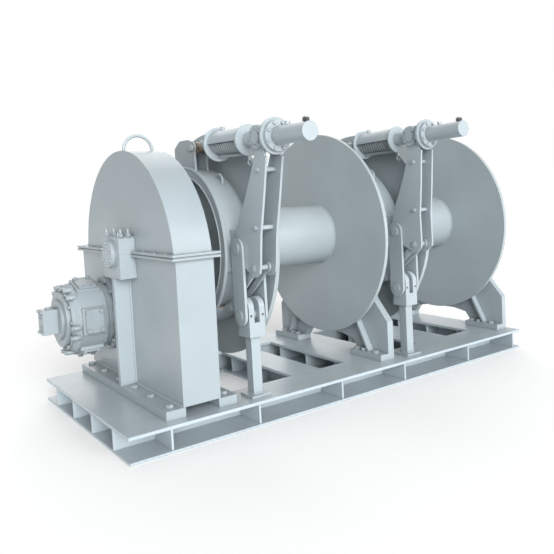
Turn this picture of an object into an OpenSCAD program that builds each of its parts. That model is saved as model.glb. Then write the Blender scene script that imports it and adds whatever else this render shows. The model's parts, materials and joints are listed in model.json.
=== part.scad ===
// Double drum mooring winch: two drums loose on one geared shaft, each held by a band brake
// that a spring applies and an oil cylinder releases.
// X runs along the drum shaft, Y towards the back, Z up from the underside of the base.
// The origin lies under the middle cross beam, in the middle of the base's width.
// Sizes are millimetres. Positions "from the left end" are counted from the gear end of the base.

/* [Base] */
// Width of the base across the drum shaft
base_width = 1400; // [1300:10:1600]
// Height of the base girders
base_height = 140; // [120:5:200]
// Thickness of the top plates
top_plate = 18; // [12:1:25]
// Thickness of the bottom plates
bottom_plate = 14; // [10:1:20]
// Thickness of the girder webs
web_plate = 12; // [8:1:20]
// Width of the long girders' flanges
girder_width = 270; // [200:5:300]
// Distance of the long girders' webs from the middle
web_offset = 480; // [460:5:520]
// Length of the closed deck at the left end
deck_length = 640; // [600:10:660]
// Reach of the base beyond the plate of the end pedestal
base_margin = 65; // [30:5:100]
// Width of the cross beams under the pedestals
beam_width = 400; // [360:10:420]

/* [Drum shaft] */
// Height of the drum shaft above the underside of the base
shaft_height = 966; // [900:1:1050]
// Diameter of the drum shaft
shaft_dia = 150; // [120:5:160]
// Running clearance of shafts and bushes on the radius
running_gap = 0.05; // [0.03:0.01:0.1]

/* [Drums] */
// Outer diameter of the drum barrel
barrel_dia = 410; // [380:1:440]
// Wall thickness of the drum barrel
barrel_wall = 20; // [12:1:30]
// Outer diameter of the drum flanges
flange_dia = 1400; // [1300:10:1440]
// Thickness of the drum flanges
flange_plate = 25; // [18:1:32]
// Position of the first drum's left flange from the left end
drum_start = 910; // [900:1:920]
// Length of one drum over its flanges
drum_length = 865; // [840:1:880]
// Space between the two drums for the pedestal, the clutch and the brake
drum_space = 360; // [345:1:380]

/* [Brake wheel] */
// Diameter of the braked surface
brake_dia = 900; // [860:2:940]
// Diameter of the wheel's left lip
lip_dia = 994; // [980:2:1010]
// Thickness of the lip
lip_plate = 12; // [8:1:16]
// Distance from the lip's left face to the drum flange
wheel_width = 200; // [195:1:210]
// Thickness of the wheel's rim
rim_plate = 22; // [16:1:30]

/* [Band brake] */
// Distance of the brake's middle plane from the drum flange
brake_plane = 108; // [100:1:109]
// Width of the band
band_width = 150; // [130:2:156]
// Thickness of the steel band
band_plate = 10; // [6:1:12]
// Thickness of the brake lining
lining_plate = 15; // [10:1:18]
// Radial gap between the lining and the wheel at rest
lining_gap = 0.3; // [0.3:0.1:1]
// Height of the lever's fulcrum above the drum shaft
fulcrum_rise = 9; // [0:1:20]
// Distance of the lever's fulcrum in front of the band
fulcrum_reach = 104.7; // [100:0.1:110]
// Distance between the two pins of a link
link_length = 375; // [360:1:385]
// Width of the links
link_width = 116; // [100:2:124]
// Thickness of the links
link_plate = 16; // [12:1:20]
// Thickness of the lever's side plates
lever_plate = 13; // [10:1:16]
// Clear width between the lever's side plates
lever_clear = 88; // [84:1:96]
// Distance in front of the fulcrum of the spring cylinder's trunnion
trunnion_front = 158; // [150:1:166]
// Distance above the fulcrum of the spring cylinder's trunnion
trunnion_rise = 612; // [600:1:620]
// Distance in front of the fulcrum of the lever's lower pin
lower_pin_front = 152; // [146:1:158]
// Distance below the fulcrum of the lever's lower pin
lower_pin_drop = 83; // [78:1:88]
// Distance of the rod pin in front of the shaft
rod_pin_front = 75; // [70:1:80]
// Height of the rod pin above the top of the band
rod_pin_rise = 130.7; // [120:0.1:136]
// Distance of the lower band's pin outside the band
band_pin_reach = 55.4; // [50:0.1:60]
// Direction of the lower band's pin seen from the shaft, below the level
band_pin_angle = 35.9; // [34:0.1:38]
// Distance of the lower band's hinge behind the band
hinge_reach = 29.7; // [26:0.1:34]
// Depth of the lower band's hinge below the drum shaft
hinge_drop = 26; // [20:1:30]
// Angle by which the first brake's lever leans forward, its pull rod being set longer
lean_angle = 8; // [0:1:8]
// Diameter of the fulcrum and fork pins
main_pin_dia = 50; // [40:1:56]
// Diameter of the pins at the rod's eye and the band's hinge
small_pin_dia = 34; // [28:1:38]
// Diameter of the lever's lower pin
lower_pin_dia = 28; // [24:1:30]
// Diameter of the lower band's pin
band_pin_dia = 26; // [22:1:28]
// Thickness of the tie bars
tie_plate = 12; // [10:1:14]
// Width of the tie bars
tie_width = 36; // [34:1:40]
// Radius of the tie bars' eyes
tie_eye = 28; // [26:1:32]
// Extra radius of the rod's eye round its pin
rod_eye_gap = 0.9; // [0.8:0.1:1.4]
// Extra radius of the tie bar's lower eye round its pin
tie_eye_gap = 0.6; // [0.5:0.1:1]
// Running clearance of the lower band's hinge on the radius
hinge_gap = 0.09; // [0.06:0.01:0.1]
// Side of the brake post
post_size = 60; // [56:2:70]

/* [Spring cylinder] */
// Distance from the trunnion to the rear disc's outer face
cage_length = 506; // [500:1:510]
// Radius of the cage's rear disc
rear_disc_radius = 98; // [94:1:100]
// Radius of the cage's front disc
front_disc_radius = 86; // [82:1:90]
// Radius of the cage's cover
cover_radius = 78; // [76:1:82]
// Wire diameter of the spring
wire_dia = 12; // [10:0.5:14]
// Outer diameter of the spring
spring_dia = 122; // [112:1:126]
// Number of curls of the spring
spring_curls = 13; // [11:1:14]
// Distance from the trunnion to the spring plate at rest
plate_rest = 190; // [186:1:196]
// Radius of the lever's bolted trunnion discs
trunnion_disc = 62; // [58:1:66]
// Outer radius of the oil cylinder
cylinder_radius = 47.5; // [44:0.5:52]
// Distance from the trunnion to the oil cylinder's cap
cylinder_length = 375; // [360:1:390]
// Diameter of the pull rod
rod_dia = 36; // [30:1:44]

/* [Gear casing] */
// Position of the casing's left wall from the left end
casing_start = 331; // [326:1:336]
// Width of the casing along the shaft
casing_width = 220; // [216:1:226]
// Thickness of the casing's walls
casing_wall = 12; // [10:1:16]
// Distance of the lower half's front wall from the shaft
casing_front = 640; // [636:1:650]
// Distance of the lower half's back wall from the shaft
casing_back = 800; // [790:1:806]
// Radius of the casing's arch
arch_radius = 660; // [654:1:668]
// Distance of the arch's centre behind the shaft
arch_back = 30; // [20:1:40]
// Height of the arch's centre above the underside of the base
arch_height = 902; // [896:1:908]
// Thickness of each split flange
split_plate = 16; // [12:1:20]
// Reach of the split flange beyond the walls
split_reach = 30; // [26:1:40]
// Height of the foot plates
foot_height = 50; // [44:1:56]
// Reach of the foot plates beyond the casing
foot_reach = 99; // [90:1:100]
// Bar diameter of the lifting bow
bow_dia = 18; // [16:1:22]
// Outer radius of the lifting bow
bow_radius = 98; // [90:1:104]

/* [Main bearing] */
// Half width of the bearing block across the shaft
block_half = 128; // [122:1:136]
// Reach of the bearing block from the casing's wall
block_reach = 97; // [90:1:98]
// Depth of the bearing block below the shaft
block_drop = 140; // [130:1:150]
// Height of the bearing cap above the shaft
cap_rise = 100; // [96:1:110]
// Radius of the bearing's end cover
end_cover_radius = 78; // [72:1:84]
// Thickness of the bearing's end cover
end_cover_plate = 22; // [16:1:28]

/* [Gears] */
// Module of the gears
gear_module = 14; // [14:1:14]
// Teeth of the main gear
gear_teeth = 67; // [67:1:67]
// Teeth of the pinion
pinion_teeth = 13; // [13:1:13]
// Face width of the main gear
gear_width = 120; // [100:5:130]
// Amount by which each tooth is thinned
tooth_thinning = 0.5; // [0.3:0.1:1]
// Direction of the pinion seen from the shaft, below the level
pinion_angle = 45.7; // [45:0.1:46.4]

/* [Motor] */
// Radius of the motor's mounting flange
motor_flange_radius = 232; // [228:1:236]
// Radius of the motor's housing
motor_radius = 214; // [210:1:218]
// Position of the housing's left end from the left end
motor_start = 46; // [40:1:50]
// Position of the cover's left face from the left end
cover_start = 5; // [0:1:10]
// Radius of the ring that the motor's cover is bolted to
motor_ring_radius = 192; // [188:1:196]
// Radius of the motor's cover
motor_cover_radius = 168; // [164:1:168]
// Height of the oil distributor
distributor_size = 148; // [140:2:156]
// Width of the oil distributor
distributor_width = 110; // [106:2:116]
// Reach of the oil distributor beyond the motor's cover
distributor_reach = 90; // [86:1:94]
// Radius of the oil port bores
port_radius = 19; // [16:0.5:22]

/* [Pedestals] */
// Thickness of the pedestal plates
pedestal_plate = 50; // [40:1:54]
// Half width of a pedestal's foot
pedestal_half = 600; // [590:1:610]
// Outer radius of the bearing housings
housing_radius = 150; // [140:1:156]
// Length of the bearing housings
housing_length = 90; // [84:1:94]
// Gap between a drum and the bearing housing behind it
housing_gap = 25; // [15:1:30]
// Distance from a drum to the pedestal plate behind it
pedestal_gap = 55; // [45:1:60]

/* [Part choice] */
// Sub-part to build

/* [Hidden] */
$fn = 96;
paint = [0.66, 0.74, 0.79];
paint_dark = [0.55, 0.62, 0.67];
steel = [0.62, 0.63, 0.64];
bronze = [0.66, 0.5, 0.28];
lining_tone = [0.36, 0.3, 0.25];
drum_pitch = drum_length + drum_space;
middle_beam = drum_start + drum_length + 15;
end_pedestal = drum_start + drum_pitch + drum_length + pedestal_gap;
base_length = end_pedestal + base_margin;
left_end = -middle_beam;
right_end = left_end + base_length;
half_width = base_width / 2;
girder_inner = half_width - girder_width;
shaft_r = shaft_dia / 2;
barrel_r = barrel_dia / 2;
flange_r = flange_dia / 2;
wheel_r = brake_dia / 2;
lining_r = wheel_r + lining_gap;
band_r = lining_r + lining_plate;
band_outer = band_r + band_plate;
sit_gap = 0.3;

// Girder and beam layout, counted from the left end
bays = [[deck_length, middle_beam - 624], [middle_beam - 404, middle_beam - beam_width / 2],
    [middle_beam + beam_width / 2, middle_beam + 485], [middle_beam + 810,
        end_pedestal - beam_width / 2 - 5]];
beam_webs = [middle_beam - 514, middle_beam, middle_beam + 647, end_pedestal - 70];
outer_stiffeners = [250, 755, middle_beam - 440, middle_beam + 95, middle_beam + 735, base_length - 70];
beam_stiffeners = [-320, 0, 320];

// Brake positions in the plane across the shaft, as [y, z]
fulcrum = [-band_outer - fulcrum_reach, shaft_height + fulcrum_rise];
fork_pin = fulcrum - [0, link_length];
rod_pin = [-rod_pin_front, shaft_height + band_outer + rod_pin_rise];
band_pin = polar(band_outer + band_pin_reach, 180 + band_pin_angle);
hinge_pin = [band_outer + hinge_reach, shaft_height - hinge_drop];
trunnion_arm = [-trunnion_front, trunnion_rise];
lower_arm = [-lower_pin_front, -lower_pin_drop];
tie_length = norm(band_pin - (fulcrum + lower_arm));
band_arm = norm(band_pin - hinge_pin);

function turn(v, a) = [v[0] * cos(a) - v[1] * sin(a), v[0] * sin(a) + v[1] * cos(a)];
function polar(r, a) = [r * cos(a), shaft_height + r * sin(a)];
function direction(v) = atan2(v[1], v[0]);
function lean(n) = n == 1 ? lean_angle : 0;
function trunnion_at(n) = fulcrum + turn(trunnion_arm, lean(n));
function lower_pin_at(n) = fulcrum + turn(lower_arm, lean(n));
function rod_reach(n) = norm(rod_pin - trunnion_at(n));
function rod_angle(n) = direction(rod_pin - trunnion_at(n));
// The point at distance ra from a and rb from b, on the right of the way from a to b
function meet(a, ra, b, rb) = let (d = norm(b - a), x = (d * d + ra * ra - rb * rb) / (2 * d),
    h = sqrt(ra * ra - x * x), u = (b - a) / d) a + u * x + [u[1], -u[0]] * h;
function band_pin_at(n) = meet(lower_pin_at(n), tie_length, hinge_pin, band_arm);
function band_turn(n) = direction(band_pin_at(n) - hinge_pin) - direction(band_pin - hinge_pin);
function plane(n) = left_end + drum_start + (n - 1) * drum_pitch - brake_plane;
function drum_left(n) = left_end + drum_start + (n - 1) * drum_pitch;

// A profile drawn in Y and Z, made solid from x1 to x2
module x_plate(x1, x2)
    translate([x1, 0, 0])
        rotate([90, 0, 90])
            linear_extrude(height = x2 - x1)
                children();

// A round bar along X from x1 to x2, centred on p = [y, z]
module x_bar(x1, x2, r, p)
    translate([x1, p[0], p[1]])
        rotate([0, 90, 0])
            cylinder(h = x2 - x1, r = r);

// A tube along X
module x_tube(x1, x2, r_out, r_in, p)
    difference() {
        x_bar(x1, x2, r_out, p);
        x_bar(x1 - 1, x2 + 1, r_in, p);
    }

// A box given by its lower and upper corners
module span_box(a, b)
    translate(a)
        cube(b - a);

// A flat bar with round ends between two points of the Y and Z plane
module bar_profile(a, b, r1, r2) {
    u = (b - a) / norm(b - a);
    s = [-u[1], u[0]];
    translate(a) circle(r = r1);
    translate(b) circle(r = r2);
    polygon([a + s * r1, b + s * r2, b - s * r2, a - s * r1]);
}

module circle_at(p, r)
    translate(p) circle(r = r);

// A hexagon bolt head or nut standing on z = 0, with its shank reaching down
module bolt(across, head, shank_r, shank) {
    cylinder(h = head, r = across / 2 / cos(30), $fn = 6);
    if (shank > 0)
        translate([0, 0, -shank])
            cylinder(h = shank, r = shank_r);
}

module bolt_up(p, across, head, shank_r, shank)
    translate(p)
        bolt(across, head, shank_r, shank);

// The same with its head towards -X
module bolt_left(p, across, head, shank_r, shank)
    translate(p)
        rotate([0, -90, 0])
            bolt(across, head, shank_r, shank);

// The welded base
module girder(side) {
    web_y = side * web_offset;
    y1 = min(side * girder_inner, side * half_width);
    y2 = max(side * girder_inner, side * half_width);
    x1 = left_end + deck_length;
    span_box([x1, y1, base_height - top_plate], [right_end, y2, base_height]);
    span_box([x1, y1, 0], [right_end, y2, bottom_plate]);
    span_box([x1, web_y - web_plate / 2, bottom_plate], [right_end, web_y + web_plate / 2,
        base_height - top_plate]);
    for (e = outer_stiffeners)
        if (e > deck_length)
            span_box([left_end + e - web_plate / 2, min(web_y, side * (half_width - 10)), bottom_plate],
                [left_end + e + web_plate / 2, max(web_y, side * (half_width - 10)),
                    base_height - top_plate]);
}

module base_girders()
    color(paint) {
        girder(-1);
        girder(1);
    }

module base_deck()
    color(paint) {
        x2 = left_end + deck_length;
        under = base_height - top_plate;
        cross_x = left_end + 230;
        span_box([left_end, -half_width, under], [x2, half_width, base_height]);
        span_box([left_end, -half_width, 0], [left_end + 270, half_width, bottom_plate]);
        span_box([cross_x - web_plate / 2, -half_width + 10, bottom_plate],
            [cross_x + web_plate / 2, half_width - 10, under]);
        for (y = [-web_offset, -160, 160, web_offset])
            span_box([left_end, y - web_plate / 2, bottom_plate], [cross_x, y + web_plate / 2, under]);
        for (side = [-1, 1]) {
            y1 = min(side * girder_inner, side * half_width);
            y2 = max(side * girder_inner, side * half_width);
            span_box([left_end + 270, y1, 0], [x2, y2, bottom_plate]);
            span_box([cross_x, side * web_offset - web_plate / 2, bottom_plate],
                [x2, side * web_offset + web_plate / 2, under]);
        }
        span_box([x2 - web_plate, -web_offset, bottom_plate], [x2, web_offset, under]);
        span_box([x2 - 60, -girder_inner, 0], [x2, girder_inner, bottom_plate]);
    }

module cross_beam(e1, e2, web_e) {
    x1 = left_end + e1;
    x2 = left_end + e2;
    web_x = left_end + web_e;
    under = base_height - top_plate;
    span_box([x1, -girder_inner, under], [x2, girder_inner, base_height]);
    span_box([x1, -girder_inner, 0], [x2, girder_inner, bottom_plate]);
    span_box([web_x - web_plate / 2, -web_offset + web_plate / 2, bottom_plate],
        [web_x + web_plate / 2, web_offset - web_plate / 2, under]);
    for (y = beam_stiffeners)
        span_box([x1 + 10, y - web_plate / 2, bottom_plate], [x2 - 10, y + web_plate / 2, under]);
}

module base_cross_beams()
    color(paint) {
        cross_beam(bays[0][1], bays[1][0], beam_webs[0]);
        cross_beam(bays[1][1], bays[2][0], beam_webs[1]);
        cross_beam(bays[2][1], bays[3][0], beam_webs[2]);
        cross_beam(bays[3][1], base_length, beam_webs[3]);
    }

// The gear casing
casing_x1 = left_end + casing_start;
casing_x2 = casing_x1 + casing_width;
casing_bottom = base_height + foot_height;
gear_centre_distance = gear_module * (gear_teeth + pinion_teeth) / 2;
pinion_centre = [gear_centre_distance * cos(pinion_angle),
    shaft_height - gear_centre_distance * sin(pinion_angle)];
arch_centre = [arch_back, arch_height];
block_x1 = casing_x1 - block_reach;
block_bore = 86;
block_notch = 12;
cap_stud_y = block_half - 17;
cap_studs = [for (x = [block_x1 + 22, block_x1 + 66]) for (y = [-cap_stud_y, cap_stud_y]) [x, y]];
stud_r = 10;
stud_hole_r = 10.5;
stud_depth = 40;
stud_rise = 44;
seal_plate = 4;
rib_half = 17.5;
motor_pilot = 130;
pinion_boss = 24;
flange_bolts_y = [-560, -420, -280, -165, 165, 300, 440, 580, 720];
side_bolts_x = [casing_x1 + 45, casing_x2 - 45];
foot_bolts_y = [-570, -330, -100, 140, 390, 640];
foot_back = 690;
foot_front = 630;

module lower_outline()
    polygon([[-casing_front, shaft_height], [-casing_front + 12, casing_bottom], [730, casing_bottom],
        [casing_back, 760], [casing_back, shaft_height]]);

module lower_cavity()
    polygon([[-casing_front + casing_wall, shaft_height + 1],
        [-casing_front + casing_wall + 12, casing_bottom + casing_wall],
        [730 - casing_wall, casing_bottom + casing_wall], [casing_back - casing_wall, 764],
        [casing_back - casing_wall, shaft_height + 1]]);

// The split flange's plate from z1 to z2, open in the middle and left out where the bearing block stands
module split_flange(z1, z2, reach) {
    difference() {
        span_box([casing_x1 - reach, -casing_front - reach, z1],
            [casing_x2 + reach, casing_back + reach, z2]);
        span_box([casing_x1 + casing_wall, -casing_front + casing_wall, z1 - 1],
            [casing_x2 - casing_wall, casing_back - casing_wall, z2 + 1]);
        span_box([casing_x1 - reach - 1, -block_half - block_notch, z1 - 1],
            [casing_x1, block_half + block_notch, z2 + 1]);
        for (x = [casing_x1 - split_reach / 2, casing_x2 + split_reach / 2])
            for (y = flange_bolts_y)
                translate([x, y, z1 - 1])
                    cylinder(h = z2 - z1 + 2, r = 8.5);
        for (x = side_bolts_x)
            for (y = [-casing_front - split_reach / 2, casing_back + split_reach / 2])
                translate([x, y, z1 - 1])
                    cylinder(h = z2 - z1 + 2, r = 8.5);
    }
}

module casing_foot(x1, x2)
    difference() {
        span_box([x1, -foot_front, base_height], [x2, foot_back, casing_bottom]);
        for (y = foot_bolts_y)
            translate([(x1 < casing_x1 ? x1 : x2 - foot_reach) + foot_reach / 2, y, base_height - 1])
                cylinder(h = foot_height + 2, r = 13);
    }

module casing_lower()
    color(paint)
        difference() {
            union() {
                difference() {
                    x_plate(casing_x1, casing_x2) lower_outline();
                    x_plate(casing_x1 + casing_wall, casing_x2 - casing_wall) lower_cavity();
                }
                split_flange(shaft_height - split_plate, shaft_height - 4, split_reach);
                split_flange(shaft_height - 4, shaft_height, split_reach - 7);
                casing_foot(casing_x1 - foot_reach, casing_x1 + casing_wall);
                casing_foot(casing_x2 - casing_wall, casing_x2 + foot_reach);
                x_bar(casing_x2 - casing_wall - pinion_boss, casing_x2 - casing_wall + 1, 80,
                    pinion_centre);
                for (y = [-400, -180, 560])
                    span_box([casing_x2, y - 8, casing_bottom - 10],
                        [casing_x2 + 80, y + 8, casing_bottom + 190]);
            }
            x_bar(casing_x1 - 1, casing_x1 + casing_wall + 1, motor_pilot, pinion_centre);
            x_bar(casing_x2 - casing_wall - pinion_boss - 1, casing_x2 - casing_wall, 45 + running_gap,
                pinion_centre);
            x_bar(casing_x1 - 50, casing_x1 + casing_wall + 1, block_bore, [0, shaft_height]);
            x_bar(casing_x2 - casing_wall - 1, casing_x2 + 50, shaft_r + 3, [0, shaft_height]);
        }

module arch_profile(r, z_low)
    intersection() {
        translate(arch_centre) circle(r = r, $fn = 180);
        translate([-1000, z_low]) square([2000, 1000]);
    }

module casing_upper()
    color(paint)
        difference() {
            union() {
                difference() {
                    x_plate(casing_x1, casing_x2) arch_profile(arch_radius, shaft_height);
                    x_plate(casing_x1 + casing_wall, casing_x2 - casing_wall)
                        arch_profile(arch_radius - casing_wall, shaft_height - 1);
                }
                difference() {
                    union() {
                        split_flange(shaft_height, shaft_height + 4, split_reach - 7);
                        split_flange(shaft_height + 4, shaft_height + split_plate, split_reach);
                    }
                    x_plate(casing_x1 + casing_wall, casing_x2 - casing_wall)
                        arch_profile(arch_radius - casing_wall, shaft_height - 10);
                }
                difference() {
                    span_box([casing_x1 + 1, -casing_front + 1, shaft_height],
                        [casing_x2 - 1, casing_back - 1, shaft_height + split_plate]);
                    x_plate(casing_x1 + casing_wall, casing_x2 - casing_wall)
                        arch_profile(arch_radius - casing_wall, shaft_height - 10);
                }
            }
            x_bar(casing_x1 - 50, casing_x1 + casing_wall + 1, block_bore, [0, shaft_height]);
            x_bar(casing_x2 - casing_wall - 1, casing_x2 + 50, shaft_r + 3, [0, shaft_height]);
        }

// A low round screw head with its shank through both split flanges
module split_screw(p)
    translate(p) {
        cylinder(h = 4, r = 11);
        translate([0, 0, -2 * split_plate]) cylinder(h = 2 * split_plate, r = 8);
    }

module casing_bolts()
    color(paint_dark) {
        for (x = [casing_x1 - split_reach / 2, casing_x2 + split_reach / 2])
            for (y = flange_bolts_y)
                split_screw([x, y, shaft_height + split_plate]);
        for (x = side_bolts_x)
            for (y = [-casing_front - split_reach / 2, casing_back + split_reach / 2])
                split_screw([x, y, shaft_height + split_plate]);
        for (y = foot_bolts_y)
            for (x = [casing_x1 - foot_reach / 2, casing_x2 + foot_reach / 2])
                bolt_up([x, y, casing_bottom], 36, 16, 12.5, foot_height);
    }

module lifting_bow() {
    crown = arch_height + arch_radius;
    color(paint)
        difference() {
            translate([casing_x1 + casing_width / 2, 0, crown - 2])
                rotate([90, 0, 0])
                    rotate_extrude(angle = 180)
                        translate([bow_radius - bow_dia / 2, 0])
                            circle(r = bow_dia / 2, $fn = 32);
            x_bar(casing_x1, casing_x2, arch_radius, arch_centre);
        }
}

// The main bearing on the casing
module bearing_block()
    color(paint)
        difference() {
            union() {
                span_box([block_x1, -block_half, shaft_height - block_drop],
                    [casing_x1, block_half, shaft_height]);
                span_box([block_x1, -rib_half, casing_bottom],
                    [casing_x1, rib_half, shaft_height - block_drop + 1]);
            }
            x_bar(block_x1 - 1, casing_x1 + 1, block_bore, [0, shaft_height]);
            for (spot = cap_studs)
                translate([spot[0], spot[1], shaft_height - stud_depth - 20])
                    cylinder(h = stud_depth + 21, r = stud_hole_r);
        }

module bearing_cap()
    color(paint)
        difference() {
            x_plate(block_x1, casing_x1)
                polygon([[-block_half, shaft_height], [-block_half, shaft_height + cap_rise - 12],
                    [-block_half + 12, shaft_height + cap_rise], [block_half - 12, shaft_height + cap_rise],
                    [block_half, shaft_height + cap_rise - 12], [block_half, shaft_height]]);
            x_bar(block_x1 - 1, casing_x1 + 1, block_bore, [0, shaft_height]);
            for (spot = cap_studs)
                translate([spot[0], spot[1], shaft_height - 1])
                    cylinder(h = cap_rise + 2, r = stud_hole_r);
        }

module bearing_end_cover()
    color(paint) {
        x_bar(block_x1 - seal_plate, block_x1, block_bore + 6, [0, shaft_height]);
        x_bar(block_x1 - seal_plate - end_cover_plate, block_x1, end_cover_radius, [0, shaft_height]);
        for (a = [30:60:330])
            let (spot = polar(end_cover_radius - 13, a))
                bolt_left([block_x1 - seal_plate - end_cover_plate, spot[0], spot[1]], 17, 8, 4, 6);
    }

// Bores of the three bearings, as [x1, x2]
function housing_left(n) = drum_left(n) + drum_length + housing_gap;
bearing_spans = [[block_x1 + 2, casing_x1 + casing_wall],
    [housing_left(1), housing_left(1) + housing_length],
    [housing_left(2), housing_left(2) + housing_length]];

module shaft_bushes()
    color(bronze)
        for (s = bearing_spans)
            x_tube(s[0], s[1], block_bore, shaft_r + running_gap, [0, shaft_height]);

// The pedestals
pedestal_mid_x = drum_left(1) + drum_length + pedestal_gap;
pedestal_end_x = left_end + end_pedestal;
pad_top = base_height + foot_height;
pedestal_bolts_y = [345, 405, 520];
lug_root = 130;
lug_tip = 196;
cap_bolt_y = 172;
cap_lug = 44;

module pedestal_profile()
    polygon([[-pedestal_half, base_height], [-pedestal_half, 390], [-483, 521], [-175, 930],
        [-175, shaft_height],
        [175, shaft_height], [175, 930], [483, 521], [pedestal_half, 390], [pedestal_half, base_height],
        [298, base_height], [298, 171], [250, 234], [130, 255], [-130, 255], [-250, 234], [-298, 171],
        [-298, base_height]]);

// One foot plate with its bolt holes, on the left or right of the pedestal plate
module pedestal_foot(x1, x2, side, hole_x)
    difference() {
        span_box([x1, min(side * 300, side * pedestal_half), base_height],
            [x2, max(side * 300, side * pedestal_half), pad_top - 10]);
        for (y = pedestal_bolts_y)
            translate([hole_x, side * y, base_height - 1])
                cylinder(h = foot_height, r = 13);
    }

module pedestal(x, housing_x, thick) {
    difference() {
        union() {
            x_plate(x, x + thick) pedestal_profile();
            x_plate(housing_x, housing_x + housing_length)
                difference() {
                    translate([0, shaft_height]) circle(r = housing_radius);
                    translate([-200, shaft_height]) square([400, 200]);
                }
            for (side = [-1, 1]) {
                pedestal_foot(x - 70, x + 1, side, x - 38);
                x_plate(x - 45, x + 1)
                    polygon([[side * 330, 380], [side * 350, 380], [side * 461, pad_top - 12],
                        [side * 441, pad_top - 12]]);
                span_box([housing_x, min(side * lug_root, side * lug_tip), shaft_height - 36],
                    [housing_x + housing_length, max(side * lug_root, side * lug_tip), shaft_height]);
            }
        }
        x_bar(housing_x - 1, housing_x + housing_length + 1, block_bore, [0, shaft_height]);
        for (side = [-1, 1])
            translate([housing_x + housing_length / 2, side * cap_bolt_y, shaft_height - 60])
                cylinder(h = 70, r = 12.5);
    }
}

module pedestal_mid()
    color(paint) pedestal(pedestal_mid_x, bearing_spans[1][0], pedestal_plate);

module pedestal_end()
    color(paint) pedestal(pedestal_end_x, bearing_spans[2][0], pedestal_plate - 8);

module pedestal_caps()
    color(paint)
        for (i = [1, 2])
            difference() {
                union() {
                    x_plate(bearing_spans[i][0], bearing_spans[i][1])
                        difference() {
                            translate([0, shaft_height]) circle(r = housing_radius);
                            translate([-200, shaft_height - 200]) square([400, 200]);
                        }
                    for (side = [-1, 1])
                        span_box([bearing_spans[i][0], min(side * lug_root, side * lug_tip), shaft_height],
                            [bearing_spans[i][1], max(side * lug_root, side * lug_tip),
                                shaft_height + cap_lug]);
                }
                x_bar(bearing_spans[i][0] - 1, bearing_spans[i][1] + 1, block_bore, [0, shaft_height]);
                for (side = [-1, 1])
                    translate([(bearing_spans[i][0] + bearing_spans[i][1]) / 2, side * cap_bolt_y,
                        shaft_height - 1])
                        cylinder(h = 60, r = 12.5);
            }

module frame_bolts()
    color(paint_dark) {
        for (spot = cap_studs) {
            bolt_up([spot[0], spot[1], shaft_height + cap_rise], 30, 18, stud_r, cap_rise + stud_depth);
            translate([spot[0], spot[1], shaft_height + cap_rise])
                cylinder(h = stud_rise, r = stud_r);
        }
        for (i = [1, 2])
            for (side = [-1, 1])
                bolt_up([(bearing_spans[i][0] + bearing_spans[i][1]) / 2, side * cap_bolt_y,
                    shaft_height + cap_lug],
                    36, 16, 12, 100);
        for (x = [pedestal_mid_x - 38, pedestal_end_x - 38])
            for (side = [-1, 1])
                for (y = pedestal_bolts_y)
                    bolt_up([x, side * y, pad_top - 10], 36, 16, 12.5, foot_height - 10);
    }

// The hydraulic motor
motor_x1 = left_end + motor_start;
motor_flange_plate = 26;
housing_x2 = casing_x1 - motor_flange_plate;
cover_x1 = left_end + cover_start;
distributor_x1 = cover_x1 - distributor_reach;
motor_bolt_r = 214;
motor_bore = 55;
cone_start = 14;
cone_end = 42;
neck_r = motor_bolt_r - 18;
neck_length = 48;
head_x1 = motor_x1 + 54;
head_x2 = motor_x1 + 194;

module motor_flange()
    color(paint)
        difference() {
            union() {
                x_bar(housing_x2, casing_x1, motor_flange_radius, pinion_centre);
                x_bar(casing_x1 - 1, casing_x1 + casing_wall, motor_pilot - running_gap, pinion_centre);
            }
            x_bar(housing_x2 - 1, casing_x1 + 40, motor_bore + 3, pinion_centre);
            for (a = [15:30:345])
                x_bar(housing_x2 - 1, casing_x1 + 1, 9, pinion_centre + motor_bolt_r * [cos(a), sin(a)]);
        }

// One of the five cylinder heads that stand round the housing
module motor_head() {
    span_box([head_x1, -80, 0], [head_x2, 80, motor_radius + 7]);
    span_box([head_x1 + 16, -72, 0], [head_x2 - 16, 72, motor_radius + 19]);
    for (x = [head_x1 + 31, head_x2 - 31])
        for (y = [-56, 56])
            translate([x, y, motor_radius + 18])
                bolt(24, 10, 8, 0);
}

module motor_housing()
    color(paint)
        difference() {
            union() {
                x_bar(motor_x1, motor_x1 + cone_start, motor_ring_radius, pinion_centre);
                translate([motor_x1 + cone_start, pinion_centre[0], pinion_centre[1]])
                    rotate([0, 90, 0])
                        cylinder(h = cone_end - cone_start, r1 = motor_ring_radius, r2 = motor_radius);
                x_bar(motor_x1 + cone_end, housing_x2 - neck_length, motor_radius, pinion_centre);
                x_bar(housing_x2 - neck_length, housing_x2, neck_r, pinion_centre);
                for (a = [18:72:306])
                    translate([0, pinion_centre[0], pinion_centre[1]])
                        rotate([a, 0, 0])
                            motor_head();
            }
            x_bar(motor_x1 + 20, housing_x2 + 1, motor_bore + running_gap, pinion_centre);
        }

module motor_cover()
    color(paint) {
        x_bar(cover_x1, cover_x1 + 18, 124, pinion_centre);
        x_bar(cover_x1 + 17, motor_x1, motor_cover_radius, pinion_centre);
    }

port_spots = [[0, -38], [0, 38]];
port_depth = 34;
port_screws = [32, 14];

module motor_distributor()
    color(paint)
        difference() {
            span_box([distributor_x1, pinion_centre[0] - distributor_width / 2,
                pinion_centre[1] - distributor_size / 2],
                [cover_x1, pinion_centre[0] + distributor_width / 2,
                    pinion_centre[1] + distributor_size / 2]);
            for (s = port_spots)
                x_bar(distributor_x1 - 1, distributor_x1 + port_depth, port_radius, pinion_centre + s);
            for (s = port_spots)
                for (dy = [-port_screws[0], port_screws[0]])
                    for (dz = [-port_screws[1], port_screws[1]])
                        x_bar(distributor_x1 - 1, distributor_x1 + 18, 5, pinion_centre + s + [dy, dz]);
        }

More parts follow.
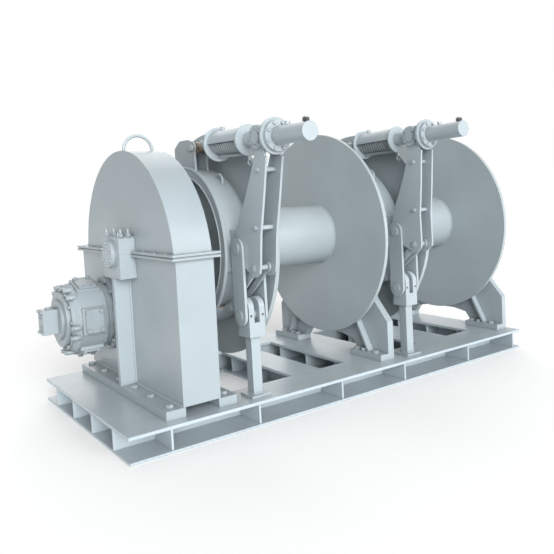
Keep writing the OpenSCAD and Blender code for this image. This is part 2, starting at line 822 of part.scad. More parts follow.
module motor_bolts()
    color(paint_dark) {
        for (a = [15:30:345]) {
            spot = pinion_centre + motor_bolt_r * [cos(a), sin(a)];
            bolt_left([housing_x2, spot[0], spot[1]], 24, 12, 8.5, motor_flange_plate);
        }
        for (a = [0:30:330])
            let (spot = pinion_centre + (motor_ring_radius - 12) * [cos(a), sin(a)])
                bolt_left([motor_x1, spot[0], spot[1]], 19, 10, 6, 0);
        for (dy = [11.5 - distributor_width / 2, distributor_width / 2 - 11.5])
            for (dz = [10.5 - distributor_size / 2, distributor_size / 2 - 10.5])
                bolt_left([distributor_x1, pinion_centre[0] + dy, pinion_centre[1] + dz], 17, 10, 5, 0);
        bolt_up([distributor_x1 + 45, pinion_centre[0], pinion_centre[1] + distributor_size / 2], 32, 14,
            8, 0);
    }

// The gears
pressure_angle = 25;
gear_x1 = left_end + 381;
gear_seat_r = 80;
key_half = 18;
key_rise = 10;

// Flank points of one tooth, from root to tip, at polar angles measured from the tooth's middle
function involute_angle(base, r) = let (t = sqrt(max(0, r * r / (base * base) - 1))) t * 180 / PI - atan(t);
function tooth_half(teeth, r) = let (pitch = gear_module * teeth / 2, base = pitch * cos(pressure_angle))
    (90 / teeth) - (tooth_thinning / 2 / pitch * 180 / PI)
    + involute_angle(base, pitch) - involute_angle(base, max(r, base));
function gear_points(teeth, steps) = let (pitch = gear_module * teeth / 2,
    root = pitch - 1.25 * gear_module,
    tip = pitch + gear_module, base = pitch * cos(pressure_angle), low = max(root, base))
    [for (i = [0:teeth - 1]) let (mid = 360 * i / teeth)
        each concat([root * [cos(mid - tooth_half(teeth, low)), sin(mid - tooth_half(teeth, low))]],
            [for (k = [0:steps]) let (r = low + (tip - low) * k / steps,
                a = mid - tooth_half(teeth, r)) r * [cos(a), sin(a)]],
            [for (k = [steps:-1:0]) let (r = low + (tip - low) * k / steps,
                a = mid + tooth_half(teeth, r)) r * [cos(a), sin(a)]],
            [root * [cos(mid + tooth_half(teeth, low)), sin(mid + tooth_half(teeth, low))]])];

module main_gear()
    color(steel)
        difference() {
            x_plate(gear_x1, gear_x1 + gear_width)
                translate([0, shaft_height])
                    rotate([0, 0, -pinion_angle + 180 / gear_teeth])
                        polygon(gear_points(gear_teeth, 2));
            x_bar(gear_x1 - 1, gear_x1 + gear_width + 1, gear_seat_r, [0, shaft_height]);
            span_box([gear_x1 - 1, -key_half, shaft_height],
                [gear_x1 + gear_width + 1, key_half, shaft_height + gear_seat_r + key_rise]);
            for (x = [gear_x1 - 1, gear_x1 + gear_width - 34])
                x_tube(x, x + 35, 395, 150, [0, shaft_height]);
            for (a = [30:60:330])
                x_bar(gear_x1, gear_x1 + gear_width, 70, [0, shaft_height] + 270 * [cos(a), sin(a)]);
        }

module pinion()
    color(steel) {
        x_plate(gear_x1 - 5, gear_x1 + gear_width + 5)
            translate(pinion_centre)
                rotate([0, 0, 180 - pinion_angle])
                    polygon(gear_points(pinion_teeth, 4));
        x_bar(motor_x1 + 22, gear_x1 - 4, motor_bore, pinion_centre);
        x_bar(gear_x1 + gear_width + 4, casing_x2 - casing_wall - 2, 45, pinion_centre);
    }

// The shaft and the drums
jaw_height = 25;
jaw_gap = 5;
hub_face = 100;
sleeve_r = 118;
hub_jaw_tip = hub_face + jaw_height;

module main_shaft()
    color(steel)
        difference() {
            union() {
                x_bar(block_x1 + 4, bearing_spans[2][1] + 2, shaft_r, [0, shaft_height]);
                x_bar(gear_x1, gear_x1 + gear_width, gear_seat_r, [0, shaft_height]);
                x_bar(gear_x1 + gear_width, gear_x1 + gear_width + 12, gear_seat_r + 14, [0, shaft_height]);
                span_box([gear_x1, -key_half, shaft_height],
                    [gear_x1 + gear_width, key_half, shaft_height + gear_seat_r + key_rise]);
                for (n = [1, 2])
                    for (side = [-1, 1])
                        span_box([drum_left(n) - hub_jaw_tip - 90, -key_half,
                            min(shaft_height, shaft_height + side * (shaft_r + key_rise))],
                            [drum_left(n) - hub_jaw_tip - 2, key_half,
                                max(shaft_height, shaft_height + side * (shaft_r + key_rise))]);
            }
            x_bar(bearing_spans[2][1] - 12, bearing_spans[2][1] + 3, 8, [0, shaft_height]);
        }

// Half-open ring sectors for the clutch jaws
module jaw_profile(r1, r2, a1, a2)
    intersection() {
        difference() {
            circle(r = r2);
            circle(r = r1);
        }
        polygon([[0, 0], 2 * r2 * [cos(a1), sin(a1)], 2 * r2 * [cos((a1 + a2) / 2), sin((a1 + a2) / 2)],
            2 * r2 * [cos(a2), sin(a2)]]);
    }

module jaws(x1, x2, start)
    x_plate(x1, x2)
        translate([0, shaft_height])
            for (k = [0:3])
                rotate([0, 0, start + 90 * k])
                    jaw_profile(shaft_r + 16, sleeve_r, -20, 20);

module clutch_sleeve(n) {
    tip = drum_left(n) - hub_jaw_tip - jaw_gap;
    color(steel)
        difference() {
            union() {
                x_bar(tip - jaw_height - 50, tip - jaw_height, sleeve_r, [0, shaft_height]);
                jaws(tip - jaw_height - 1, tip, 45);
            }
            x_bar(tip - 100, tip + 1, shaft_r + running_gap, [0, shaft_height]);
            for (side = [-1, 1])
                span_box([tip - 100, -key_half - 0.1, min(shaft_height,
                    shaft_height + side * (shaft_r + key_rise + 0.3))],
                    [tip + 1, key_half + 0.1, max(shaft_height,
                        shaft_height + side * (shaft_r + key_rise + 0.3))]);
            x_tube(tip - jaw_height - 36, tip - jaw_height - 16, sleeve_r + 1, sleeve_r - 10,
                [0, shaft_height]);
        }
}

module drum_barrel(n) {
    x = drum_left(n);
    color(paint)
        difference() {
            union() {
                x_tube(x, x + drum_length, barrel_r, barrel_r - barrel_wall, [0, shaft_height]);
                for (x1 = [x, x + drum_length - 20])
                    x_bar(x1, x1 + 20, barrel_r - barrel_wall + 1, [0, shaft_height]);
                x_bar(x, x + 130, 115, [0, shaft_height]);
                x_bar(x + drum_length - 130, x + drum_length, 115, [0, shaft_height]);
            }
            x_bar(x - 1, x + drum_length + 1, 90, [0, shaft_height]);
        }
}

module drum_flanges(n) {
    x = drum_left(n);
    color(paint)
        for (x1 = [x, x + drum_length - flange_plate])
            x_tube(x1, x1 + flange_plate, flange_r, barrel_r, [0, shaft_height]);
}

module drum_bushes(n) {
    x = drum_left(n);
    color(bronze)
        for (x1 = [x + 1, x + drum_length - 121])
            x_tube(x1, x1 + 120, 90, shaft_r + running_gap, [0, shaft_height]);
}

module brake_wheel(n) {
    x = drum_left(n);
    color(paint) {
        x_tube(x - wheel_width, x, wheel_r, wheel_r - rim_plate, [0, shaft_height]);
        x_tube(x - wheel_width, x - wheel_width + lip_plate, lip_dia / 2, wheel_r - 1, [0, shaft_height]);
        x_tube(x - 92, x - 76, wheel_r - rim_plate + 1, sleeve_r - 1, [0, shaft_height]);
        x_tube(x - hub_face, x, sleeve_r, shaft_r + 12, [0, shaft_height]);
        for (a = [0:60:300])
            translate([0, 0, shaft_height])
                rotate([a, 0, 0])
                    span_box([x - 77, -7, sleeve_r - 2], [x, 7, wheel_r - rim_plate + 1]);
        jaws(x - hub_jaw_tip, x - hub_face + 1, 0);
    }
}

// The band brake's standing half
ring_steps = 180;
split_high = 2;
split_low = -8;
upper_end = 196;
lower_end = 226 - 360;

module ring_sector(r1, r2, a1, a2)
    difference() {
        translate([0, shaft_height]) circle(r = r2, $fn = ring_steps);
        translate([0, shaft_height]) circle(r = r1, $fn = ring_steps);
        polygon([[0, shaft_height], polar(1500, a2), polar(1500, a2 + (a1 + 360 - a2) / 4),
            polar(1500, a2 + (a1 + 360 - a2) / 2),
            polar(1500, a2 + (a1 + 360 - a2) * 3 / 4), polar(1500, a1 + 360)]);
    }

// Lug plates with an eye, standing on the band
module lug_profile(points, centre, eye)
    difference() {
        union() {
            polygon(points);
            translate(centre) circle(r = eye);
        }
        translate([0, shaft_height]) circle(r = band_r + 2, $fn = ring_steps);
    }

lug_inner = 22;
lug_outer = 42;
gusset_inner = 33;
gusset_plate = 14;
gusset_outer = gusset_inner + gusset_plate;
collar = 10;
end_cap_reach = 9;
eye_angle = 124;
arm_reach = band_outer + fulcrum_reach;
gusset_foot = shaft_height + band_r - 100;

module lug_pair(m, inner, outer)
    for (s = [[-outer, -inner], [inner, outer]])
        x_plate(m + s[0], m + s[1])
            children();

module band_upper(n) {
    m = plane(n);
    color(paint)
        difference() {
            union() {
                x_plate(m - band_width / 2, m + band_width / 2)
                    ring_sector(band_r, band_outer, split_high, upper_end);
                x_plate(m - lug_inner + 2, m + lug_inner - 2)
                    lug_profile([polar(band_r, 3), polar(band_r + 6, 16), polar(band_outer + 53, 0),
                        hinge_pin,
                        polar(band_outer + 9, -0.5)], hinge_pin, 27);
                lug_pair(m, lug_inner, lug_outer)
                    lug_profile([polar(band_r, 166), polar(arm_reach + 35, 174.6),
                        polar(arm_reach + 52, 179.2),
                        polar(arm_reach + 30, 184), polar(band_r, 193)], fulcrum, 46);
                lug_pair(m, gusset_inner, gusset_outer)
                    lug_profile([[rod_pin[0] - 41, gusset_foot], rod_pin + [-29, -72], rod_pin + [-29, -12],
                        rod_pin + [-13, 30], rod_pin + [38, 51], rod_pin + [145, 54], rod_pin + [164, 51],
                        rod_pin + [232, 10], [rod_pin[0] + 229, gusset_foot]], rod_pin, 38);
                x_plate(m - gusset_inner - 1, m + gusset_inner + 1)
                    difference() {
                        polygon([[rod_pin[0] + 175, gusset_foot], [rod_pin[0] + 189, gusset_foot],
                            rod_pin + [189, 28], rod_pin + [175, 28]]);
                        translate([0, shaft_height]) circle(r = band_r + 2, $fn = ring_steps);
                    }
                translate([m + 25, polar(band_outer - 6, eye_angle)[0],
                    polar(band_outer - 6, eye_angle)[1]])
                    rotate([eye_angle - 90, 0, 0])
                        rotate([90, 0, 90])
                            rotate_extrude(angle = 180)
                                translate([42, 0]) circle(r = 8, $fn = 32);
            }
            x_bar(m - 80, m + 80, small_pin_dia / 2 + running_gap, hinge_pin);
            x_bar(m - 80, m + 80, small_pin_dia / 2 + running_gap, rod_pin);
            x_bar(m - 80, m + 80, main_pin_dia / 2 + running_gap, fulcrum);
        }
}

module lining_upper(n) {
    m = plane(n);
    color(lining_tone)
        x_plate(m - band_width / 2 - 4, m + band_width / 2)
            ring_sector(lining_r, band_r, split_high + 0.5, upper_end - 0.5);
}

module brake_pins(n) {
    m = plane(n);
    link_out = lever_clear / 2 + lever_plate + 1 + link_plate;
    color(steel) {
        for (p = [fulcrum, fork_pin])
            x_bar(m - link_out, m + link_out, main_pin_dia / 2, p);
        for (p = [fulcrum, fork_pin])
            for (s = [-1, 1])
                x_bar(m + s * link_out - (s < 0 ? 7 : 0), m + s * link_out + (s < 0 ? 0 : 7),
                    main_pin_dia / 2 + 5, p);
        x_bar(m - gusset_outer - end_cap_reach, m + gusset_outer + end_cap_reach, small_pin_dia / 2,
            rod_pin);
        for (s = [[-gusset_outer - collar, -gusset_outer], [gusset_outer, gusset_outer + collar]])
            x_bar(m + s[0], m + s[1], small_pin_dia / 2 + 6, rod_pin);
        x_bar(m - lug_outer - 8, m + lug_outer + 8, small_pin_dia / 2, hinge_pin);
        for (s = [[-lug_outer - sit_gap - collar, -lug_outer - sit_gap],
            [lug_outer + sit_gap, lug_outer + sit_gap + collar]])
            x_bar(m + s[0], m + s[1], small_pin_dia / 2 + 6, hinge_pin);
    }
}

module brake_links(n) {
    m = plane(n);
    inner = lever_clear / 2 + lever_plate + 1;
    color(paint)
        lug_pair(m, inner, inner + link_plate)
            difference() {
                bar_profile(fulcrum, fork_pin, link_width / 2, link_width / 2);
                for (p = [fulcrum, fork_pin])
                    translate(p) circle(r = main_pin_dia / 2 + running_gap);
            }
}

head_half = 52;
head_depth = 118;
head_bottom = 478;
head_round = 640;
slot_half = 17;
slot_bottom = 560;

module brake_post(n) {
    m = plane(n);
    y = fulcrum[0];
    inner = lever_clear / 2 + lever_plate + 1;
    color(paint)
        difference() {
            union() {
                span_box([m - 62, y - 62, base_height], [m + 62, y + 62, base_height + 14]);
                span_box([m - post_size / 2, y - post_size / 2, base_height],
                    [m + post_size / 2, y + post_size / 2, head_bottom + 1]);
                x_plate(m - head_half, m + head_half) {
                    translate([y - head_depth / 2, head_bottom]) square([head_depth,
                        head_round - head_bottom]);
                    translate([y, head_round]) circle(r = head_depth / 2);
                }
                for (s = [-1, 1])
                    x_bar(m + min(s * head_half, s * inner), m + max(s * head_half, s * inner),
                        main_pin_dia / 2 + 14, fork_pin);
            }
            span_box([m - slot_half, y - 80, slot_bottom], [m + slot_half, y + 80, head_round + 80]);
            x_bar(m - 90, m + 90, main_pin_dia / 2 + running_gap, fork_pin);
            for (s = [-1, 1])
                translate([m + s * 38, y - head_depth / 2 + 14, fork_pin[1]])
                    rotate([90, 0, 0])
                        cylinder(h = 20, r = 7);
        }
}

// The band brake's moving pieces
module about_hinge(n)
    translate([0, hinge_pin[0], hinge_pin[1]])
        rotate([band_turn(n), 0, 0])
            translate([0, -hinge_pin[0], -hinge_pin[1]])
                children();

tie_outer = lever_clear / 2 - 2;
tie_inner = tie_outer - tie_plate;
pin_lug_inner = 10;
pin_lug_outer = tie_inner - 2;
pin_turn = 180 + band_pin_angle;
pin_reach = band_outer + band_pin_reach;

module band_lower(n) {
    m = plane(n);
    color(paint)
        about_hinge(n) {
            difference() {
                union() {
                    x_plate(m - band_width / 2, m + band_width / 2)
                        ring_sector(band_r, band_outer, lower_end, split_low);
                    lug_pair(m, lug_inner, lug_outer)
                        lug_profile([polar(band_r, -9), polar(band_r + 6, -22),
                            polar(band_outer + 53, -6.5), hinge_pin,
                            polar(band_outer + 9, -5.5)], hinge_pin, 27);
                    lug_pair(m, pin_lug_inner, pin_lug_outer)
                        lug_profile([polar(band_r, pin_turn + 12), polar(pin_reach + 24, pin_turn + 1.6),
                            polar(pin_reach + 19, pin_turn - 1.9), polar(pin_reach - 31, pin_turn - 1.9),
                            polar(band_r + 4, pin_turn + 6), polar(band_r, pin_turn + 28)], band_pin, 30);
                }
                x_bar(m - 80, m + 80, small_pin_dia / 2 + hinge_gap, hinge_pin);
            }
            x_bar(m - tie_outer - sit_gap - 5, m + tie_outer + sit_gap + 5, band_pin_dia / 2, band_pin);
            for (s = [[-tie_outer - sit_gap - 5, -tie_outer - sit_gap],
                [tie_outer + sit_gap, tie_outer + sit_gap + 5]])
                x_bar(m + s[0], m + s[1], band_pin_dia / 2 + 5, band_pin);
        }
}

module lining_lower(n) {
    m = plane(n);
    color(lining_tone)
        about_hinge(n)
            x_plate(m - band_width / 2 - 4, m + band_width / 2)
                ring_sector(lining_r, band_r, lower_end + 0.5, split_low - 0.5);
}

module tie_bar(n) {
    m = plane(n);
    a = lower_pin_at(n);
    b = band_pin_at(n);
    color(paint)
        lug_pair(m, tie_inner, tie_outer)
            difference() {
                union() {
                    circle_at(a, tie_eye);
                    circle_at(b, tie_eye - 2);
                    bar_profile(a, b, tie_width / 2, tie_width / 2);
                }
                circle_at(a, lower_pin_dia / 2 + running_gap);
                circle_at(b, band_pin_dia / 2 + tie_eye_gap);
            }
}

// Everything fixed to the lever is drawn for the upright lever and leant about the fulcrum
module about_fulcrum(n)
    translate([0, fulcrum[0], fulcrum[1]])
        rotate([lean(n), 0, 0])
            children();

trunnion_bore = 34;
trunnion_eye = 64;
disc_height = 11;
lever_bolts = [[-176, 447], [-170, 139]];

module lever_side() {
    difference() {
        union() {
            polygon([[-216, -60], [-212, 105], [-229, 297], [-241, 479], [-244, 518], [-228, 521],
                trunnion_arm - [trunnion_eye, 0], trunnion_arm + [trunnion_eye, 0], [-135, 520],
                    [-106, 422],
                [-53, 285], [5, 165], [30, 100], [44, 12], [20, -43], [-78, -100], [-123, -120],
                    [-175, -126],
                [-212, -100]]);
            circle(r = 47);
            circle_at(lower_arm, 50);
            circle_at(trunnion_arm, trunnion_eye);
        }
        circle(r = main_pin_dia / 2 + running_gap);
        circle_at(trunnion_arm, trunnion_bore);
    }
}

// A bolted disc with its cap on the outside of a lever plate, its inner face on x = 0
module trunnion_disc_set()
    rotate([0, 90, 0]) {
        difference() {
            cylinder(h = disc_height, r = trunnion_disc);
            translate([0, 0, -1]) cylinder(h = disc_height + 2, r = trunnion_bore);
        }
        translate([0, 0, disc_height]) cylinder(h = 6, r = trunnion_bore + 2);
        for (a = [45:90:315])
            rotate([0, 0, a])
                translate([trunnion_disc - 15, 0, disc_height])
                    cylinder(h = 8, r = 10, $fn = 6);
    }

module brake_lever(n) {
    m = plane(n);
    half = lever_clear / 2;
    outer = half + lever_plate;
    color(paint)
        about_fulcrum(n) {
            lug_pair(m, half, outer)
                lever_side();
            x_bar(m - outer - 8, m + outer + 8, lower_pin_dia / 2, lower_arm);
            for (p = lever_bolts)
                x_bar(m - half - 1, m + half + 1, 13, p);
            for (s = [-1, 1]) {
                translate([m + s * outer, trunnion_arm[0], trunnion_arm[1]])
                    rotate([0, 0, s < 0 ? 180 : 0])
                        trunnion_disc_set();
                for (p = lever_bolts)
                    translate([m + s * (outer - 1), p[0], p[1]])
                        rotate([0, s * 90, 0])
                            cylinder(h = 14, r = 14, $fn = 6);
                translate([m + s * (outer - 1), lower_arm[0], lower_arm[1]])
                    rotate([0, s * 90, 0])
                        cylinder(h = 7, r = lower_pin_dia / 2 + 7);
            }
        }
}

// The spring cylinder's own frame: s along the rod, t across, from the trunnion
module along_rod(n)
    translate([plane(n), trunnion_at(n)[0], trunnion_at(n)[1]])
        rotate([rod_angle(n), 0, 0])
            rotate([-90, 0, 0])
                children();

front_disc_s = 165;
disc_plate = 13;
cage_bolt_s = 440;
rod_bore = rod_dia / 2 + running_gap;
cage_half = lever_clear / 2 - 1;

module spring_cage(n)
    color(paint)
        along_rod(n)
            difference() {
                union() {
                    translate([0, 0, cage_length - 14])
                        cylinder(h = 14, r = rear_disc_radius);
                    translate([0, 0, front_disc_s])
                        cylinder(h = disc_plate, r = front_disc_radius);
                    intersection() {
                        translate([0, 0, front_disc_s + 1])
                            difference() {
                                cylinder(h = cage_length - 14 - front_disc_s, r = cover_radius);
                                translate([0, 0, -1]) cylinder(h = cage_length, r = cover_radius - 4);
                            }
                        translate([-100, -100, 0]) cube([200, 100, cage_length]);
                    }
                    translate([-7, 66, front_disc_s + 1]) cube([14, 14, cage_length - 14 - front_disc_s]);
                    translate([0, -cover_radius + 3, cage_bolt_s])
                        rotate([90, 0, 0]) {
                            cylinder(h = 10, r = 15);
                            translate([0, 0, 10]) cylinder(h = 12, r = 16, $fn = 6);
                        }
                    translate([0, 0, 40]) cylinder(h = front_disc_s - 39, r = 40);
                    span_box([-cage_half + 3, -62, -76], [cage_half - 3, 62, 42]);
                    span_box([-cage_half, -52, -50], [cage_half, 52, 34]);
                    translate([0, front_disc_radius - 2, front_disc_s + 3])
                        rotate([-90, 0, 0]) cylinder(h = 26, r = 8);
                    rotate([0, 90, 0])
                        translate([0, 0, -lever_clear / 2 - lever_plate - 10])
                            cylinder(h = lever_clear + 2 * lever_plate + 20,
                                r = trunnion_bore - running_gap);
                }
                translate([0, 0, -77]) cylinder(h = cage_length + 80, r = rod_bore);
            }

nipple_s = 345;
nipple_length = 24;
nipple_r = 11;
nipple_bore = 6;

module brake_cylinder(n)
    color(paint_dark)
        along_rod(n) {
            translate([0, -cylinder_radius - sit_gap, -nipple_s])
                rotate([90, 0, 0])
                    difference() {
                        cylinder(h = nipple_length, r = nipple_r);
                        translate([0, 0, -1]) cylinder(h = nipple_length + 2, r = nipple_bore);
                    }
            difference() {
                union() {
                    translate([0, 0, -cylinder_length]) cylinder(h = cylinder_length - 100,
                        r = cylinder_radius);
                    translate([0, 0, -116]) cylinder(h = 25, r = 80);
                    translate([0, 0, -92]) cylinder(h = 16, r = 95);
                    translate([0, -cylinder_radius + 2, -195])
                        rotate([90, 0, 0]) cylinder(h = 18, r = 14);
                }
                translate([0, 0, -cylinder_length + 20]) cylinder(h = cylinder_length - 130,
                    r = cylinder_radius - 9);
                translate([0, 0, -120]) cylinder(h = 50, r = rod_bore);
            }
            for (a = [22.5:45:337.5])
                translate([68 * cos(a), 68 * sin(a), -115])
                    rotate([180, 0, 0])
                        cylinder(h = 9, r = 9, $fn = 6);
        }

piston_gap = 390;
spring_plate = 10;

// Piston, pull rod, spring plate and eye in one piece
module brake_rod(n) {
    reach = rod_reach(n);
    piston_s = plate_rest - piston_gap;
    color(steel)
        along_rod(n)
            difference() {
                union() {
                    translate([0, 0, piston_s]) cylinder(h = reach - 30 - piston_s, r = rod_dia / 2);
                    translate([0, 0, piston_s - 30]) cylinder(h = 30,
                        r = cylinder_radius - 9 - running_gap);
                    translate([0, 0, plate_rest]) cylinder(h = spring_plate, r = 64);
                    translate([0, 0, reach - 62]) cylinder(h = 30, r = 27, $fn = 6);
                    translate([-24, 0, reach])
                        rotate([0, 90, 0])
                            cylinder(h = 48, r = 36);
                }
                translate([-30, 0, reach])
                    rotate([0, 90, 0])
                        cylinder(h = 60, r = small_pin_dia / 2 + rod_eye_gap);
            }
}

// The spring, one unbroken tube
wire_r = wire_dia / 2;
coil_r = spring_dia / 2 - wire_r;
ring_sides = 6;
rings_per_curl = 8;
tail = wire_dia;

spring_from = plate_rest + spring_plate + sit_gap;
spring_to = cage_length - 14 - sit_gap;
spring_pitch = (spring_to - spring_from - 2 * tail - wire_dia) / spring_curls;
last_step = spring_curls * rings_per_curl;
// Middle line: a straight tail off the plate, the curls, and a straight tail to the disc
function coil_point(i) = let (a = 360 * i / rings_per_curl)
    [coil_r * cos(a), coil_r * sin(a), spring_from + tail + wire_r + spring_pitch * i / rings_per_curl];
spring_line = concat([coil_point(0) - [0, 0, tail + wire_r]], [for (i = [0:last_step]) coil_point(i)],
    [coil_point(last_step) + [0, 0, tail + wire_r]]);
function unit(v) = v / norm(v);
function way(line, i) = i == 0 || i == len(line) - 1 ? [0, 0, 1] : unit(line[i + 1] - line[i - 1]);
function ring(line, i) = let (t = way(line, i), c = line[i],
    u = unit([c[0], c[1], 0] - t * ([c[0], c[1], 0] * t)), v = cross(t, u))
    [for (k = [0:ring_sides - 1]) c + wire_r * (u * cos(60 * k) + v * sin(60 * k))];

module tube_form(line) {
    rings = len(line);
    points = [for (i = [0:rings - 1]) each ring(line, i)];
    sides = [for (i = [0:rings - 2]) for (k = [0:ring_sides - 1])
        let (a = i * ring_sides + k, b = i * ring_sides + (k + 1) % ring_sides)
            each [[a, a + ring_sides, b], [b, a + ring_sides, b + ring_sides]]];
    first = [for (k = [1:ring_sides - 2]) [0, k, k + 1]];
    end = (rings - 1) * ring_sides;
    last = [for (k = [1:ring_sides - 2]) [end, end + k + 1, end + k]];
    polyhedron(points = points, faces = concat(sides, first, last), convexity = 10);
}

module brake_spring(n)
    color(steel)
        along_rod(n)
            tube_form(spring_line);

// Least gap between the middle-line points of one spring that lie half a curl or more apart
function least_gap(line) = min([for (i = [0:len(line) - 1]) for (j = [i + rings_per_curl / 2:1:len(line) - 1])
    norm(line[i] - line[j])]) - wire_dia;

echo("least gap of a spring to itself, mm", least_gap(spring_line));

base_girders();
base_deck();
base_cross_beams();
casing_lower();
casing_upper();
casing_bolts();
lifting_bow();
bearing_block();
bearing_cap();
bearing_end_cover();
frame_bolts();
shaft_bushes();
motor_flange();
motor_housing();
motor_cover();
motor_distributor();
motor_bolts();
pedestal_mid();
pedestal_end();
pedestal_caps();
brake_post(1);  // brake_post_1
brake_post(2);  // brake_post_2
brake_links(1);  // brake_links_1
brake_links(2);  // brake_links_2
brake_pins(1);  // brake_pins_1
brake_pins(2);  // brake_pins_2
band_upper(1);  // band_upper_1
band_upper(2);  // band_upper_2
lining_upper(1);  // lining_upper_1
lining_upper(2);  // lining_upper_2
main_shaft();
main_gear();
pinion();
drum_barrel(1);  // drum_barrel_1
drum_barrel(2);  // drum_barrel_2
drum_flanges(1);  // drum_flanges_1
drum_flanges(2);  // drum_flanges_2
brake_wheel(1);  // brake_wheel_1
brake_wheel(2);  // brake_wheel_2
drum_bushes(1);  // drum_bushes_1
drum_bushes(2);  // drum_bushes_2
clutch_sleeve(1);  // clutch_sleeve_1
clutch_sleeve(2);  // clutch_sleeve_2
brake_lever(1);  // brake_lever_1
brake_lever(2);  // brake_lever_2
spring_cage(1);  // spring_cage_1
spring_cage(2);  // spring_cage_2
brake_cylinder(1);  // brake_cylinder_1
brake_cylinder(2);  // brake_cylinder_2
brake_spring(1);  // brake_spring_1
brake_spring(2);  // brake_spring_2
brake_rod(1);  // brake_rod_1
brake_rod(2);  // brake_rod_2
tie_bar(1);  // tie_bar_1
tie_bar(2);  // tie_bar_2
band_lower(1);  // band_lower_1
band_lower(2);  // band_lower_2
lining_lower(1);  // lining_lower_1
lining_lower(2);  // lining_lower_2
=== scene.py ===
# %% [markdown]
# # Double drum mooring winch
# This lesson dresses a mooring winch that was drawn as solids first. The solids are loaded as a fixed
# frame: they already stand in their places, in metres, and move with their bodies. Here they get a
# painted finish, the wound springs, weld beads and small fittings, and light and a camera.

# %% Load the frame
import bpy
import json
import math
from mathutils import Matrix, Vector


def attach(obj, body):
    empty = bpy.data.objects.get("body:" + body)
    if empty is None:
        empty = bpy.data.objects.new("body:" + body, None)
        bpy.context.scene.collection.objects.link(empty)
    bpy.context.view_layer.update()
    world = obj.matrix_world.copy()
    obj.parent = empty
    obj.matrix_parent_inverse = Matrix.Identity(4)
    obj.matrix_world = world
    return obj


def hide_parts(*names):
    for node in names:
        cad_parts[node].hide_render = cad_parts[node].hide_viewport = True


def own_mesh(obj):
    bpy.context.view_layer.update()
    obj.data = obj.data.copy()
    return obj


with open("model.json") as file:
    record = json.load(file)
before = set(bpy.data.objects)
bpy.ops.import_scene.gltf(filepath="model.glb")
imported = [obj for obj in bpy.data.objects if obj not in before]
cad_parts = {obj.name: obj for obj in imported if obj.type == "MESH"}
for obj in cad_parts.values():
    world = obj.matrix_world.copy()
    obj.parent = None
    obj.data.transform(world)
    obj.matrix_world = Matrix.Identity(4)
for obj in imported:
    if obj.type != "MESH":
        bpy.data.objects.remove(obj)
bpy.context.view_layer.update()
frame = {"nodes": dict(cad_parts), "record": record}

record = frame["record"]
joints = {j["name"]: j for j in record["behaviour"]["joints"]}

# %% [markdown]
# The camera comes first, because everything else is judged through it. The photograph was taken from
# the gear end and the front, a little above the shaft, with a slight tilt. Its place and lens were
# worked out from the drum flanges and the base, so the numbers are given as they were found.

# %% Camera
eye = Vector((-2.858, -3.577, 1.256))
yaw, pitch, roll = 0.6258, -0.0617, -0.0527
lens_length, sensor_width = 41.252, 36.0
picture_width = 554
shift_pixels = (-12.95, -43.21)
farthest_seen = 60.0
ahead = Vector((math.sin(yaw) * math.cos(pitch), math.cos(yaw) * math.cos(pitch), math.sin(pitch)))
right = Vector((math.cos(yaw), -math.sin(yaw), 0.0))
above = right.cross(ahead)
side_axis = right * math.cos(roll) + above * math.sin(roll)
up_axis = above * math.cos(roll) - right * math.sin(roll)
camera_data = bpy.data.cameras.new("camera")
camera_data.lens = lens_length
camera_data.sensor_width = sensor_width
camera_data.shift_x = shift_pixels[0] / picture_width
camera_data.shift_y = shift_pixels[1] / picture_width
camera_data.clip_end = farthest_seen
camera = bpy.data.objects.new("camera", camera_data)
bpy.context.scene.collection.objects.link(camera)
camera.matrix_world = Matrix((
    (side_axis.x, up_axis.x, -ahead.x, eye.x),
    (side_axis.y, up_axis.y, -ahead.y, eye.y),
    (side_axis.z, up_axis.z, -ahead.z, eye.z),
    (0, 0, 0, 1)))
bpy.context.scene.camera = camera
print("camera at", tuple(round(v, 3) for v in eye))

# %% [markdown]
# A studio for a pale machine: a white floor under a white sky, and one broad soft sun from the front, a
# little to the left. The faces between the drums are as bright in the photograph as the open ones, so most
# of the light has to come from where the camera stands, and only a part from the sky. A low fill reaches
# under the flanges of the base, and a weak sun from behind keeps the back readable. The sky looks white to
# the camera, but lights the winch with less than that.

# %% Floor
floor_size = 80.0
floor_tone = (0.9, 0.9, 0.9, 1)
bpy.ops.object.select_all(action="DESELECT")
bpy.ops.mesh.primitive_plane_add(size=floor_size, location=(0, 0, 0))
floor = bpy.context.active_object
floor.name = "floor"
floor_paint = bpy.data.materials.new("floor_paint")
floor_paint.use_nodes = True
floor_shader = floor_paint.node_tree.nodes["Principled BSDF"]
floor_shader.inputs["Base Color"].default_value = floor_tone
floor_shader.inputs["Roughness"].default_value = 0.9
floor_shader.inputs["Specular IOR Level"].default_value = 0.1
floor.data.materials.append(floor_paint)
print("floor", floor_size, "m wide")


# %% Suns
def soft_sun(name, place, strength, spread):
    lamp = bpy.data.lights.new(name, "SUN")
    lamp.energy = strength
    lamp.angle = math.radians(spread)
    holder = bpy.data.objects.new(name, lamp)
    bpy.context.scene.collection.objects.link(holder)
    holder.location = place
    holder.rotation_euler = Vector(place).to_track_quat("Z", "Y").to_euler()
    print(name, "strength", strength, "spread", spread)


soft_sun("front_sun", (-3.4, -9.0, 2.7), 4.2, 40)
soft_sun("low_fill", (2.0, -9.0, 0.3), 2.6, 70)
soft_sun("back_sun", (4.0, 8.0, 5.5), 1.1, 60)

